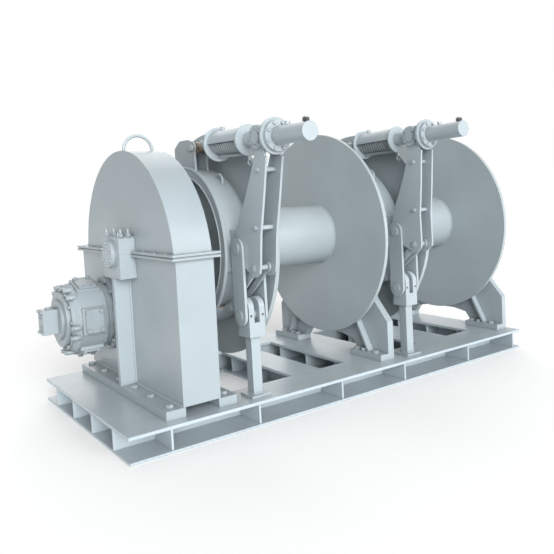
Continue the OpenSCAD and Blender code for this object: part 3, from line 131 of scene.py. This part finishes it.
# %% Sky
sky_tone = (0.98, 0.985, 0.98, 1)
sky_strength = 0.55
world = bpy.data.worlds.new("studio")
world.use_nodes = True
sky_tree = world.node_tree
sky_lit = sky_tree.nodes["Background"]
sky_lit.inputs["Color"].default_value = sky_tone
sky_lit.inputs["Strength"].default_value = sky_strength
sky_seen = sky_tree.nodes.new("ShaderNodeBackground")
sky_seen.inputs["Color"].default_value = (1, 1, 1, 1)
sky_pick = sky_tree.nodes.new("ShaderNodeMixShader")
sky_path = sky_tree.nodes.new("ShaderNodeLightPath")
sky_tree.links.new(sky_path.outputs["Is Camera Ray"], sky_pick.inputs["Fac"])
sky_tree.links.new(sky_lit.outputs["Background"], sky_pick.inputs[1])
sky_tree.links.new(sky_seen.outputs["Background"], sky_pick.inputs[2])
sky_tree.links.new(sky_pick.outputs["Shader"], sky_tree.nodes["World Output"].inputs["Surface"])
bpy.context.scene.world = world
bpy.context.scene.view_settings.view_transform = "Standard"
print("sky strength", sky_strength)

# %% [markdown]
# Paint first. Machine paint on welded steel is never one colour: it clouds slightly, gathers dust on flat
# tops and shows the roller's fine dimple. Several finishes share these masks, so they come from node groups
# with named inputs and outputs. A third group makes the stain round a dry pin.

# %% Node group helpers
def new_group(name, inputs, outputs):
    group = bpy.data.node_groups.new(name, "ShaderNodeTree")
    for label, kind, value in inputs:
        socket = group.interface.new_socket(name=label, in_out="INPUT", socket_type=kind)
        if value is not None:
            socket.default_value = value
    for label, kind in outputs:
        group.interface.new_socket(name=label, in_out="OUTPUT", socket_type=kind)
    start = group.nodes.new("NodeGroupInput")
    end = group.nodes.new("NodeGroupOutput")
    return group, start, end


def node(tree, kind, **values):
    made = tree.nodes.new(kind)
    for key, value in values.items():
        setattr(made, key, value)
    return made


def join(tree, source, target):
    tree.links.new(source, target)


# %% Clouding
clouds, cloud_in, cloud_out = new_group(
    "paint_clouds",
    [("Scale", "NodeSocketFloat", 3.0), ("Contrast", "NodeSocketFloat", 1.0)],
    [("Mask", "NodeSocketFloat"), ("Fine", "NodeSocketFloat")])
position = node(clouds, "ShaderNodeTexCoord")
broad = node(clouds, "ShaderNodeTexNoise")
broad.inputs["Detail"].default_value = 5.0
broad.inputs["Roughness"].default_value = 0.55
fine = node(clouds, "ShaderNodeTexNoise")
fine.inputs["Scale"].default_value = 60.0
fine.inputs["Detail"].default_value = 4.0
spread = node(clouds, "ShaderNodeMapRange")
spread.inputs["From Min"].default_value = 0.32
spread.inputs["From Max"].default_value = 0.68
join(clouds, position.outputs["Object"], broad.inputs["Vector"])
join(clouds, position.outputs["Object"], fine.inputs["Vector"])
join(clouds, cloud_in.outputs["Scale"], broad.inputs["Scale"])
join(clouds, broad.outputs["Fac"], spread.inputs["Value"])
join(clouds, cloud_in.outputs["Contrast"], spread.inputs["To Max"])
join(clouds, spread.outputs["Result"], cloud_out.inputs["Mask"])
join(clouds, fine.outputs["Fac"], cloud_out.inputs["Fine"])

# %% Dust, which lies in patches on faces that look up
dust, dust_in, dust_out = new_group(
    "settled_dust",
    [("Amount", "NodeSocketFloat", 0.4)],
    [("Mask", "NodeSocketFloat")])
position = node(dust, "ShaderNodeTexCoord")
shape = node(dust, "ShaderNodeNewGeometry")
normal_parts = node(dust, "ShaderNodeSeparateXYZ")
facing_up = node(dust, "ShaderNodeMapRange")
facing_up.inputs["From Min"].default_value = 0.55
facing_up.inputs["From Max"].default_value = 1.0
patches = node(dust, "ShaderNodeTexNoise")
patches.inputs["Scale"].default_value = 9.0
patches.inputs["Detail"].default_value = 6.0
patch_range = node(dust, "ShaderNodeMapRange")
patch_range.inputs["From Min"].default_value = 0.35
patch_range.inputs["From Max"].default_value = 0.7
both = node(dust, "ShaderNodeMath", operation="MULTIPLY")
scaled = node(dust, "ShaderNodeMath", operation="MULTIPLY")
join(dust, shape.outputs["Normal"], normal_parts.inputs["Vector"])
join(dust, normal_parts.outputs["Z"], facing_up.inputs["Value"])
join(dust, position.outputs["Object"], patches.inputs["Vector"])
join(dust, patches.outputs["Fac"], patch_range.inputs["Value"])
join(dust, facing_up.outputs["Result"], both.inputs[0])
join(dust, patch_range.outputs["Result"], both.inputs[1])
join(dust, both.outputs["Value"], scaled.inputs[0])
join(dust, dust_in.outputs["Amount"], scaled.inputs[1])
join(dust, scaled.outputs["Value"], dust_out.inputs["Mask"])

# %% A stain, which spreads from one spot and breaks up in blotches
stain, stain_in, stain_out = new_group(
    "spot_stain",
    [("Spot", "NodeSocketVector", None), ("Radius", "NodeSocketFloat", 0.1)],
    [("Mask", "NodeSocketFloat")])
position = node(stain, "ShaderNodeTexCoord")
reach = node(stain, "ShaderNodeVectorMath", operation="DISTANCE")
share = node(stain, "ShaderNodeMath", operation="DIVIDE")
blotch = node(stain, "ShaderNodeTexNoise")
blotch.inputs["Scale"].default_value = 28.0
blotch.inputs["Detail"].default_value = 6.0
broken = node(stain, "ShaderNodeMath", operation="ADD")
fade = node(stain, "ShaderNodeMapRange")
fade.inputs["From Min"].default_value = 1.45
fade.inputs["From Max"].default_value = 0.8
join(stain, position.outputs["Object"], reach.inputs[0])
join(stain, stain_in.outputs["Spot"], reach.inputs[1])
join(stain, reach.outputs["Value"], share.inputs[0])
join(stain, stain_in.outputs["Radius"], share.inputs[1])
join(stain, position.outputs["Object"], blotch.inputs["Vector"])
join(stain, share.outputs["Value"], broken.inputs[0])
join(stain, blotch.outputs["Fac"], broken.inputs[1])
join(stain, broken.outputs["Value"], fade.inputs["Value"])
join(stain, fade.outputs["Result"], stain_out.inputs["Mask"])
print("shared masks:", clouds.name, dust.name, stain.name)


# %% [markdown]
# Rounded edges make or break painted steel. The solids have sharp edges, and their meshes stay as they
# are, so a Bevel node bends the shading normal over the last millimetres of each face, which catches a
# line of light as thick paint does. Where faces meet, which the Ambient Occlusion node finds, the colour is
# darkened as painted shade, and the near pull rod has rusted beside its eye, so a stain is mixed in round
# that spot.

# %% Paint
cloud_scale = 2.2
crevice_reach, crevice_samples = 0.03, 6
crevice_open, crevice_shut = 0.75, 0.3
# Painted shade: this near-black tone is mixed into the paint's colour where faces meet.
painted_shade_tone = (0.075, 0.085, 0.085, 1)
rust_tone = (0.145, 0.105, 0.07, 1)
gloss_spread = 0.16
edge_samples = 4
dimple_strength, dimple_depth = 0.12, 0.0008
coat_weight, coat_roughness = 0.25, 0.2


def paint_finish(name, tone, worn, roughness, edge=0.004, dirt=0.4, grime=(0.26, 0.27, 0.265), crevice_shade_share=0.5,
                 rust_spot=None, rust_radius=0.1):
    made = bpy.data.materials.new(name)
    made.use_nodes = True
    tree = made.node_tree
    shader = tree.nodes["Principled BSDF"]
    cloud = node(tree, "ShaderNodeGroup", node_tree=clouds)
    cloud.inputs["Scale"].default_value = cloud_scale
    tint = node(tree, "ShaderNodeMix", data_type="RGBA")
    tint.inputs["A"].default_value = (*tone, 1)
    tint.inputs["B"].default_value = (*worn, 1)
    join(tree, cloud.outputs["Mask"], tint.inputs["Factor"])
    settled = node(tree, "ShaderNodeGroup", node_tree=dust)
    settled.inputs["Amount"].default_value = dirt
    soiled = node(tree, "ShaderNodeMix", data_type="RGBA")
    soiled.inputs["B"].default_value = (*grime, 1)
    join(tree, tint.outputs["Result"], soiled.inputs["A"])
    join(tree, settled.outputs["Mask"], soiled.inputs["Factor"])
    # Painted shade: where the Ambient Occlusion node finds faces close round a point, the colour is
    # darkened towards the shade tone.
    corner = node(tree, "ShaderNodeAmbientOcclusion", samples=crevice_samples)
    corner.inputs["Distance"].default_value = crevice_reach
    hidden = node(tree, "ShaderNodeMapRange")
    hidden.inputs["From Min"].default_value = crevice_open
    hidden.inputs["From Max"].default_value = crevice_shut
    hidden.inputs["To Max"].default_value = crevice_shade_share
    dark = node(tree, "ShaderNodeMix", data_type="RGBA")
    dark.inputs["B"].default_value = painted_shade_tone
    join(tree, corner.outputs["AO"], hidden.inputs["Value"])
    join(tree, hidden.outputs["Result"], dark.inputs["Factor"])
    join(tree, soiled.outputs["Result"], dark.inputs["A"])
    last_tint = dark.outputs["Result"]
    if rust_spot:
        rust = node(tree, "ShaderNodeGroup", node_tree=stain)
        rust.inputs["Spot"].default_value = rust_spot
        rust.inputs["Radius"].default_value = rust_radius
        rusted = node(tree, "ShaderNodeMix", data_type="RGBA")
        rusted.inputs["B"].default_value = rust_tone
        join(tree, last_tint, rusted.inputs["A"])
        join(tree, rust.outputs["Mask"], rusted.inputs["Factor"])
        last_tint = rusted.outputs["Result"]
    join(tree, last_tint, shader.inputs["Base Color"])
    gloss = node(tree, "ShaderNodeMapRange")
    gloss.inputs["To Min"].default_value = roughness
    gloss.inputs["To Max"].default_value = roughness + gloss_spread
    join(tree, cloud.outputs["Fine"], gloss.inputs["Value"])
    join(tree, gloss.outputs["Result"], shader.inputs["Roughness"])
    rounded = node(tree, "ShaderNodeBevel", samples=edge_samples)
    rounded.inputs["Radius"].default_value = edge
    bump = node(tree, "ShaderNodeBump")
    bump.inputs["Strength"].default_value = dimple_strength
    bump.inputs["Distance"].default_value = dimple_depth
    join(tree, rounded.outputs["Normal"], bump.inputs["Normal"])
    join(tree, cloud.outputs["Fine"], bump.inputs["Height"])
    join(tree, bump.outputs["Normal"], shader.inputs["Normal"])
    shader.inputs["Coat Weight"].default_value = coat_weight
    shader.inputs["Coat Roughness"].default_value = coat_roughness
    return made


# Each finish's crevice share sets how strongly painted shade darkens its colour where faces meet.
marine_paint = paint_finish("marine_paint", (0.295, 0.345, 0.372), (0.27, 0.315, 0.338), 0.3)
bolt_paint = paint_finish("bolt_paint", (0.28, 0.33, 0.355), (0.215, 0.25, 0.268), 0.34, edge=0.0015)
drum_paint = paint_finish("drum_paint", (0.295, 0.342, 0.362), (0.265, 0.308, 0.326), 0.34)
casing_paint = paint_finish("casing_paint", (0.268, 0.315, 0.339), (0.246, 0.288, 0.309), 0.28, dirt=0.3)
# Painted light: the base gets the same paint in a lighter tone, which brightens its deck and the recesses
# under its flanges.
base_paint_with_painted_light = paint_finish("base_paint_with_painted_light", (0.35, 0.41, 0.445), (0.315, 0.368, 0.398), 0.3, dirt=0.22,
                          crevice_shade_share=0.3)
casting_paint = paint_finish("casting_paint", (0.255, 0.3, 0.325), (0.215, 0.252, 0.27), 0.36, dirt=0.55,
                             crevice_shade_share=0.85)
stain_reach = 0.71
near_trunnion = Vector(joints["cylinder_1_swing"]["pos_m"])
stain_spot = tuple(near_trunnion + Vector(joints["rod_1_slide"]["axis"]) * stain_reach)
stained_paint = paint_finish("stained_paint", (0.285, 0.332, 0.355), (0.25, 0.29, 0.31), 0.38,
                             rust_spot=stain_spot, rust_radius=0.075)
spring_paint = paint_finish("spring_paint", (0.27, 0.315, 0.338), (0.2, 0.232, 0.248), 0.34, edge=0.001,
                            dirt=0.3, crevice_shade_share=0.7)


# %% Bare metal, bronze and lining
metal_gloss_spread = 0.2
grain_strength, grain_depth = 0.15, 0.0005


def metal_finish(name, tone, dark, roughness, metallic=1.0, scale=25.0):
    made = bpy.data.materials.new(name)
    made.use_nodes = True
    tree = made.node_tree
    shader = tree.nodes["Principled BSDF"]
    shader.inputs["Metallic"].default_value = metallic
    cloud = node(tree, "ShaderNodeGroup", node_tree=clouds)
    cloud.inputs["Scale"].default_value = scale
    tint = node(tree, "ShaderNodeMix", data_type="RGBA")
    tint.inputs["A"].default_value = (*tone, 1)
    tint.inputs["B"].default_value = (*dark, 1)
    join(tree, cloud.outputs["Mask"], tint.inputs["Factor"])
    join(tree, tint.outputs["Result"], shader.inputs["Base Color"])
    gloss = node(tree, "ShaderNodeMapRange")
    gloss.inputs["To Min"].default_value = roughness
    gloss.inputs["To Max"].default_value = roughness + metal_gloss_spread
    join(tree, cloud.outputs["Fine"], gloss.inputs["Value"])
    join(tree, gloss.outputs["Result"], shader.inputs["Roughness"])
    bump = node(tree, "ShaderNodeBump")
    bump.inputs["Strength"].default_value = grain_strength
    bump.inputs["Distance"].default_value = grain_depth
    join(tree, cloud.outputs["Fine"], bump.inputs["Height"])
    join(tree, bump.outputs["Normal"], shader.inputs["Normal"])
    return made


machined_steel = metal_finish("machined_steel", (0.55, 0.56, 0.57), (0.42, 0.43, 0.44), 0.28)
gear_steel = metal_finish("gear_steel", (0.40, 0.40, 0.40), (0.25, 0.24, 0.22), 0.35)
bronze_bush = metal_finish("bronze_bush", (0.62, 0.43, 0.2), (0.45, 0.3, 0.14), 0.35)
lining_felt = metal_finish("lining_felt", (0.24, 0.2, 0.17), (0.14, 0.12, 0.1), 0.8,
                           metallic=0.0, scale=40.0)
dark_steel = metal_finish("dark_steel", (0.1, 0.105, 0.11), (0.05, 0.05, 0.055), 0.45,
                          metallic=0.6, scale=30.0)
print("finishes made")


# %% [markdown]
# The solids carry most of the winch's form, so each gets the finish of the real piece, but the base's paint
# is set lighter as painted light. Bushes, gears and the sleeves inside the brake wheels stay bare metal,
# the linings are woven stuff, and everything else is painted over, pins and bolts included.

# %% Dress the solids
def finish_for(name):
    if "lining" in name:
        return lining_felt
    if "bushes" in name:
        return bronze_bush
    if name in ("main_gear", "pinion") or name.startswith("clutch"):
        return gear_steel
    if "bolts" in name:
        return bolt_paint
    if name.startswith("drum"):
        return drum_paint
    if name.startswith("base_"):
        return base_paint_with_painted_light
    if name in ("casing_lower", "casing_upper"):
        return casing_paint
    if name in ("motor_housing", "motor_cover", "motor_distributor", "motor_flange"):
        return casting_paint
    if name in ("brake_rod_1", "band_upper_1"):
        return stained_paint
    if name.startswith("brake_spring"):
        return spring_paint
    return marine_paint


for name in frame["nodes"]:
    piece = bpy.data.objects[name]
    wanted = finish_for(name)
    if not piece.material_slots:
        piece.data.materials.append(wanted)
    for s in piece.material_slots:
        s.material = wanted
print("dressed", len(frame["nodes"]), "solids")

# %% [markdown]
# Pieces made here all end the same way. Their place goes into the mesh, so that the object itself stands
# at the origin unturned. They get a finish and a smooth look up to a given angle, and they ride on a body
# of the frame. Most are a small outline that a Screw modifier sweeps, so that has helpers of its own.

# %% Helpers for new pieces
weld_distance = 0.0001


def start_piece():
    bpy.ops.object.select_all(action="DESELECT")


def place_in_mesh():
    bpy.ops.object.transform_apply(location=True, rotation=True, scale=True)


def round_outline(sides, radius, reach, turn=math.pi / 2):
    start_piece()
    bpy.ops.mesh.primitive_circle_add(vertices=sides, radius=radius, location=(reach, 0, 0),
                                      rotation=(turn, 0, 0))
    place_in_mesh()
    return bpy.context.active_object


def sweep_outline(outline, angle, steps, offset=0.0, merged=False):
    sweep = outline.modifiers.new("sweep", "SCREW")
    sweep.angle = angle
    sweep.screw_offset = offset
    sweep.steps = sweep.render_steps = steps
    sweep.use_merge_vertices = merged
    sweep.merge_threshold = weld_distance
    bpy.ops.object.modifier_apply(modifier="sweep")


def face_outward(open_sides=0):
    bpy.ops.object.mode_set(mode="EDIT")
    bpy.ops.mesh.select_all(action="SELECT")
    if open_sides:
        bpy.ops.mesh.fill_holes(sides=open_sides)
    bpy.ops.mesh.normals_make_consistent(inside=False)
    bpy.ops.object.mode_set(mode="OBJECT")


def finish_piece(piece, name, finish, body, angle=40):
    start_piece()
    piece.select_set(True)
    bpy.context.view_layer.objects.active = piece
    place_in_mesh()
    piece.name = name
    piece.data.materials.clear()
    piece.data.materials.append(finish)
    bpy.ops.object.shade_smooth_by_angle(angle=math.radians(angle))
    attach(piece, body)
    return piece


# %% [markdown]
# The two brake springs are the boldest wound pieces. A compression spring ends in a closed turn that lies
# flat on its plate, and the turns between are evenly open. A Screw modifier with no rise sweeps a small
# circle through all the turns on one spot, and each section of wire is then lifted to its own height,
# which gives closed ends that a Screw with an even rise can't make.

# %% Springs
wire_radius = 0.006
coil_radius = 0.055
spring_start = 0.2003
spring_stop = 0.4917
open_turns = 11
wire_sides = 12
sections_per_turn = 24
wire_smooth_angle = 60
closed_share = 2.04
closed_rise = closed_share * wire_radius
open_rise = (spring_stop - spring_start - 2 * wire_radius - 2 * closed_rise) / open_turns


def wire_height(turns):
    closed = min(turns, 1.0) + max(turns - 1.0 - open_turns, 0.0)
    opened = min(max(turns - 1.0, 0.0), open_turns)
    return spring_start + wire_radius + closed * closed_rise + opened * open_rise


def wound_spring(n):
    slide = joints[f"rod_{n}_slide"]
    trunnion = Vector(joints[f"cylinder_{n}_swing"]["pos_m"])
    along = Vector(slide["axis"]).normalized()
    piece = round_outline(wire_sides, wire_radius, coil_radius)
    sweep_outline(piece, 2 * math.pi * (open_turns + 2), (open_turns + 2) * sections_per_turn)
    for corner in piece.data.vertices:
        corner.co.z += wire_height((corner.index // wire_sides) / sections_per_turn)
    face_outward(wire_sides)
    piece.matrix_world = Matrix.Translation(trunnion) @ along.to_track_quat("Z", "X").to_matrix().to_4x4()
    finish_piece(piece, f"spring_wire_{n}", spring_paint, f"cylinder_{n}", wire_smooth_angle)
    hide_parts(f"brake_spring_{n}")
    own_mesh(piece)


for n in (1, 2):
    wound_spring(n)

# %% [markdown]
# Weld beads tell a welded winch from a carved one. A bead is a row of small overlapping ripples, so its
# section is swept first, by a Screw modifier round a ring or straight along a seam, and each section is
# then made a little thicker or thinner in turn. The beads lie half sunk in the corner that they fill.

# %% Weld bead helper
bead_size = 0.007
bead_sides = 8
ripple_length = 0.011
ripple_swell = 0.16
sections_per_ripple = 3
fewest_sections = 6
bead_smooth_angle = 50


def bead_sections(length):
    return max(fewest_sections, round(length / ripple_length) * sections_per_ripple)


def ripple_bead(bead):
    corners = bead.data.vertices
    for first in range(0, len(corners) - bead_sides + 1, bead_sides):
        group = [corners[first + k] for k in range(bead_sides)]
        middle = sum((c.co for c in group), Vector()) / bead_sides
        swell = 1 + ripple_swell * math.sin(2 * math.pi * (first // bead_sides) / sections_per_ripple)
        for c in group:
            c.co = middle + (c.co - middle) * swell
    face_outward(bead_sides)


def join_pieces(pieces):
    start_piece()
    for piece in pieces:
        piece.select_set(True)
    bpy.context.view_layer.objects.active = pieces[0]
    if len(pieces) > 1:
        bpy.ops.object.join()
    return bpy.context.active_object


# %% [markdown]
# Each drum has two ring welds, one where its barrel meets the flange at either end. The bead shows as a
# thin line of light and shade round the barrel.

# %% Ring welds of the drums
barrel_radius = 0.205
shaft_level = 0.966
flange_faces = {1: (-0.855, -0.04), 2: (0.37, 1.185)}


def ring_weld(x, radius):
    bead = round_outline(bead_sides, bead_size, radius)
    sweep_outline(bead, 2 * math.pi, bead_sections(2 * math.pi * radius), merged=True)
    ripple_bead(bead)
    bead.matrix_world = Matrix.Translation((x, 0, shaft_level)) @ Matrix.Rotation(math.pi / 2, 4, "Y")
    place_in_mesh()
    return bead


for n, faces in flange_faces.items():
    rings = [ring_weld(x, barrel_radius) for x in faces]
    welded = finish_piece(join_pieces(rings), f"barrel_welds_{n}", drum_paint, f"drum_{n}",
                          bead_smooth_angle)
    print(welded.name, len(welded.data.polygons))

# %% [markdown]
# The straight seams are those that a visitor sees first: both sides of the rib under the bearing block,
# the left foot of the casing, and the four sides of each brake post.

# %% Straight welds of the frame
rib_x, rib_y, rib_low, rib_high = -1.459, 0.0175, 0.19, 0.826
casing_front_y, casing_back_y, foot_level = -0.62, 0.682, 0.19
post_half, post_y, post_low = 0.03, -0.58, 0.154
brake_planes = {1: -0.988, 2: 0.237}


def straight_weld(start, stop):
    start, stop = Vector(start), Vector(stop)
    span = stop - start
    bead = round_outline(bead_sides, bead_size, 0, turn=0)
    sweep_outline(bead, 0, bead_sections(span.length), offset=span.length)
    ripple_bead(bead)
    bead.matrix_world = Matrix.Translation(start) @ span.to_track_quat("Z", "X").to_matrix().to_4x4()
    place_in_mesh()
    return bead


seams = [straight_weld((rib_x, y, rib_low), (rib_x, y, rib_high)) for y in (-rib_y, rib_y)]
seams.append(straight_weld((rib_x, casing_front_y, foot_level), (rib_x, casing_back_y, foot_level)))
for plane_x in brake_planes.values():
    west, east = plane_x - post_half, plane_x + post_half
    south, north = post_y - post_half, post_y + post_half
    round_post = [(west, south), (east, south), (east, north), (west, north), (west, south)]
    for here, there in zip(round_post, round_post[1:]):
        seams.append(straight_weld((*here, post_low), (*there, post_low)))
frame_welds = finish_piece(join_pieces(seams), "frame_welds", marine_paint, "frame",
                           bead_smooth_angle)
print(frame_welds.name, "seams", len(seams), "faces", len(frame_welds.data.polygons))

# %% [markdown]
# The motor's case is a casting that is bolted together between its cylinder heads. Pairs of bosses stand
# there on the front cone, each with a hexagon bolt and a washer. One bolt is modelled and copied: a six
# sided cylinder on a washer, whose outer face is inset and pushed out a little, which gives the chamfer.

# %% Case bolts of the motor
motor_axis = Vector((0, 0.391113, 0.565212))
boss_front, boss_back, boss_radius, boss_pitch = -1.742, -1.7, 0.0165, 0.2065
washer_thickness, washer_radius = 0.003, 0.0155
washer_bevel, boss_bevel, bevel_segments = 0.0006, 0.0015, 2
head_height, head_radius = 0.012, 0.0148
head_inset, head_chamfer = 0.14, 0.12
head_count, first_gap, gap_half = 5, 54, 9
outer_face_limit = 0.9
copies_smooth_angle = 35


def round_bar(radius, depth, middle, sides=24, bevel=0.0):
    start_piece()
    bpy.ops.mesh.primitive_cylinder_add(vertices=sides, radius=radius, depth=depth, location=middle)
    bar = bpy.context.active_object
    if bevel:
        softened = bar.modifiers.new("softened", "BEVEL")
        softened.width = bevel
        softened.segments = bevel_segments
        bpy.ops.object.modifier_apply(modifier="softened")
    return bar


def hexagon_bolt(height, radius, washer_r, washer_t):
    washer = round_bar(washer_r, washer_t, (0, 0, washer_t / 2), bevel=washer_bevel)
    start_piece()
    bpy.ops.mesh.primitive_cylinder_add(vertices=6, radius=radius, depth=height,
                                        location=(0, 0, washer_t + height / 2))
    head = bpy.context.active_object
    bpy.ops.object.mode_set(mode="EDIT")
    bpy.ops.mesh.select_all(action="DESELECT")
    bpy.ops.object.mode_set(mode="OBJECT")
    for face in head.data.polygons:
        face.select = face.normal.z > outer_face_limit
    bpy.ops.object.mode_set(mode="EDIT")
    bpy.ops.mesh.inset(thickness=radius * head_inset)
    bpy.ops.transform.translate(value=(0, 0, height * head_chamfer))
    bpy.ops.object.mode_set(mode="OBJECT")
    return join_pieces([head, washer])


def copy_of(piece, placing):
    twin = piece.copy()
    twin.data = piece.data.copy()
    bpy.context.scene.collection.objects.link(twin)
    start_piece()
    twin.select_set(True)
    bpy.context.view_layer.objects.active = twin
    twin.matrix_world = placing
    place_in_mesh()
    return twin


def scattered(pattern, placings, name, finish, body):
    start_piece()
    pattern.select_set(True)
    bpy.context.view_layer.objects.active = pattern
    place_in_mesh()
    twins = [copy_of(pattern, placing) for placing in placings]
    bpy.data.objects.remove(pattern, do_unlink=True)
    made = finish_piece(join_pieces(twins), name, finish, body, copies_smooth_angle)
    print(name, len(placings), "alike, faces", len(made.data.polygons))
    return made


facing_left = Matrix.Rotation(-math.pi / 2, 4, "Y")
between_heads = [first_gap + 360 // head_count * k + turn
                 for k in range(head_count) for turn in (-gap_half, gap_half)]


def on_motor(x, radius, degrees):
    turn = math.radians(degrees)
    spot = motor_axis + Vector((x, radius * math.cos(turn), radius * math.sin(turn)))
    return Matrix.Translation(spot) @ facing_left


boss = round_bar(boss_radius, boss_back - boss_front, (0, 0, 0), bevel=boss_bevel)
scattered(boss, [on_motor((boss_front + boss_back) / 2, boss_pitch, a) for a in between_heads],
          "motor_bosses", casting_paint, "frame")
scattered(hexagon_bolt(head_height, head_radius, washer_radius, washer_thickness),
          [on_motor(boss_front, boss_pitch, a) for a in between_heads],
          "motor_case_bolts", bolt_paint, "frame")

# %% [markdown]
# The left face of each brake wheel shows two turned lines, one near the lip's edge and one near the bore
# of the rim. Each is a small circle, pressed flatter in edit mode and swept once round the shaft.

# %% Turned lines of the brake wheels
wheel_faces = {1: -1.08, 2: 0.145}
line_radii = (0.4875, 0.436)
line_half_width = 0.006
line_rise = 0.6
line_sides, line_steps, line_smooth_angle = 12, 180, 50


def turned_line(x, radius):
    line = round_outline(line_sides, line_half_width, radius)
    bpy.ops.object.mode_set(mode="EDIT")
    bpy.ops.mesh.select_all(action="SELECT")
    bpy.ops.transform.resize(value=(1, 1, line_rise), center_override=(radius, 0, 0))
    bpy.ops.object.mode_set(mode="OBJECT")
    sweep_outline(line, 2 * math.pi, line_steps, merged=True)
    face_outward()
    line.matrix_world = Matrix.Translation((x, 0, shaft_level)) @ Matrix.Rotation(math.pi / 2, 4, "Y")
    place_in_mesh()
    return line


for n, x in wheel_faces.items():
    rims = [turned_line(x, radius) for radius in line_radii]
    rim = finish_piece(join_pieces(rims), f"wheel_lines_{n}", drum_paint, f"drum_{n}",
                       line_smooth_angle)
    print(rim.name, len(rim.data.polygons))

# %% [markdown]
# The oil port of each brake cylinder shows as a small dark spot. A hexagon collar of dark steel stands
# round the nipple: a small rectangle swept in six steps, which makes the outside and the hole six sided.

# %% Port collars
port_back, collar_low, collar_high = 0.345, 0.0483, 0.0655
collar_inside, collar_outside = 0.0131, 0.0185
collar_faces, collar_bevel, collar_smooth_angle = 6, 0.001, 30


def port_collar(n):
    along = Vector(joints[f"rod_{n}_slide"]["axis"]).normalized()
    trunnion = Vector(joints[f"cylinder_{n}_swing"]["pos_m"])
    upward = Vector((1, 0, 0)).cross(along)
    if upward.z < 0:
        upward = -upward
    middle, half_width = (collar_inside + collar_outside) / 2, (collar_outside - collar_inside) / 2
    start_piece()
    bpy.ops.mesh.primitive_plane_add(size=2, location=(middle, 0, (collar_low + collar_high) / 2),
                                     rotation=(math.pi / 2, 0, 0))
    collar = bpy.context.active_object
    collar.scale = (half_width, (collar_high - collar_low) / 2, 1)
    place_in_mesh()
    bpy.ops.object.mode_set(mode="EDIT")
    bpy.ops.mesh.select_all(action="SELECT")
    bpy.ops.mesh.bevel(offset=collar_bevel, segments=bevel_segments, affect="VERTICES")
    bpy.ops.mesh.delete(type="ONLY_FACE")
    bpy.ops.object.mode_set(mode="OBJECT")
    sweep_outline(collar, 2 * math.pi, collar_faces, merged=True)
    face_outward()
    collar.matrix_world = (Matrix.Translation(trunnion - along * port_back)
                           @ upward.to_track_quat("Z", "Y").to_matrix().to_4x4())
    finish_piece(collar, f"port_collar_{n}", dark_steel, f"cylinder_{n}", collar_smooth_angle)
    print(collar.name, len(collar.data.polygons))


for n in (1, 2):
    port_collar(n)

# %% [markdown]
# Under the front disc of each spring cage hangs a small bent hook. It is a round section swept through
# a little more than half a turn, with closed ends, on the short stem of the solid. The matrix that places
# it mirrors the mesh, so its faces are turned outwards once more at the end.

# %% Cage hooks
hook_wire, hook_radius, hook_turn = 0.0045, 0.015, math.radians(230)
hook_forward, hook_down = 0.168, 0.11
hook_sides, hook_steps = 12, 30


def cage_hook(n):
    along = Vector(joints[f"rod_{n}_slide"]["axis"]).normalized()
    trunnion = Vector(joints[f"cylinder_{n}_swing"]["pos_m"])
    sideways = Vector((1, 0, 0))
    downward = along.cross(sideways)
    if downward.z > 0:
        downward = -downward
    hook = round_outline(hook_sides, hook_wire, hook_radius)
    sweep_outline(hook, hook_turn, hook_steps)
    face_outward(hook_sides)
    middle = trunnion + along * hook_forward + downward * (hook_down + hook_radius - hook_wire)
    hook.matrix_world = Matrix((
        (-downward.x, along.x, sideways.x, middle.x),
        (-downward.y, along.y, sideways.y, middle.y),
        (-downward.z, along.z, sideways.z, middle.z),
        (0, 0, 0, 1)))
    finish_piece(hook, f"cage_hook_{n}", marine_paint, f"cylinder_{n}")
    face_outward()
    print(hook.name, len(hook.data.polygons))


for n in (1, 2):
    cage_hook(n)

# %% [markdown]
# Grease nipples stand on the bearing caps. Each is a short stem on a small hexagon, and a Bevel modifier
# rounds the stem's rims so far that its top looks like a ball.

# %% Grease nipples
nipple_spots = [(-1.5075, 0, 1.0655), (0.055, 0, 1.1155), (1.28, 0, 1.1155)]
stem_radius, stem_length, stem_middle, stem_bevel, stem_sides = 0.005, 0.016, 0.012, 0.0035, 16
hexagon_height, hexagon_radius, seat_radius, seat_thickness = 0.007, 0.0085, 0.009, 0.001
stem = round_bar(stem_radius, stem_length, (0, 0, stem_middle), sides=stem_sides, bevel=stem_bevel)
hexagon = hexagon_bolt(hexagon_height, hexagon_radius, seat_radius, seat_thickness)
scattered(join_pieces([hexagon, stem]), [Matrix.Translation(spot) for spot in nipple_spots],
          "grease_nipples", machined_steel, "frame")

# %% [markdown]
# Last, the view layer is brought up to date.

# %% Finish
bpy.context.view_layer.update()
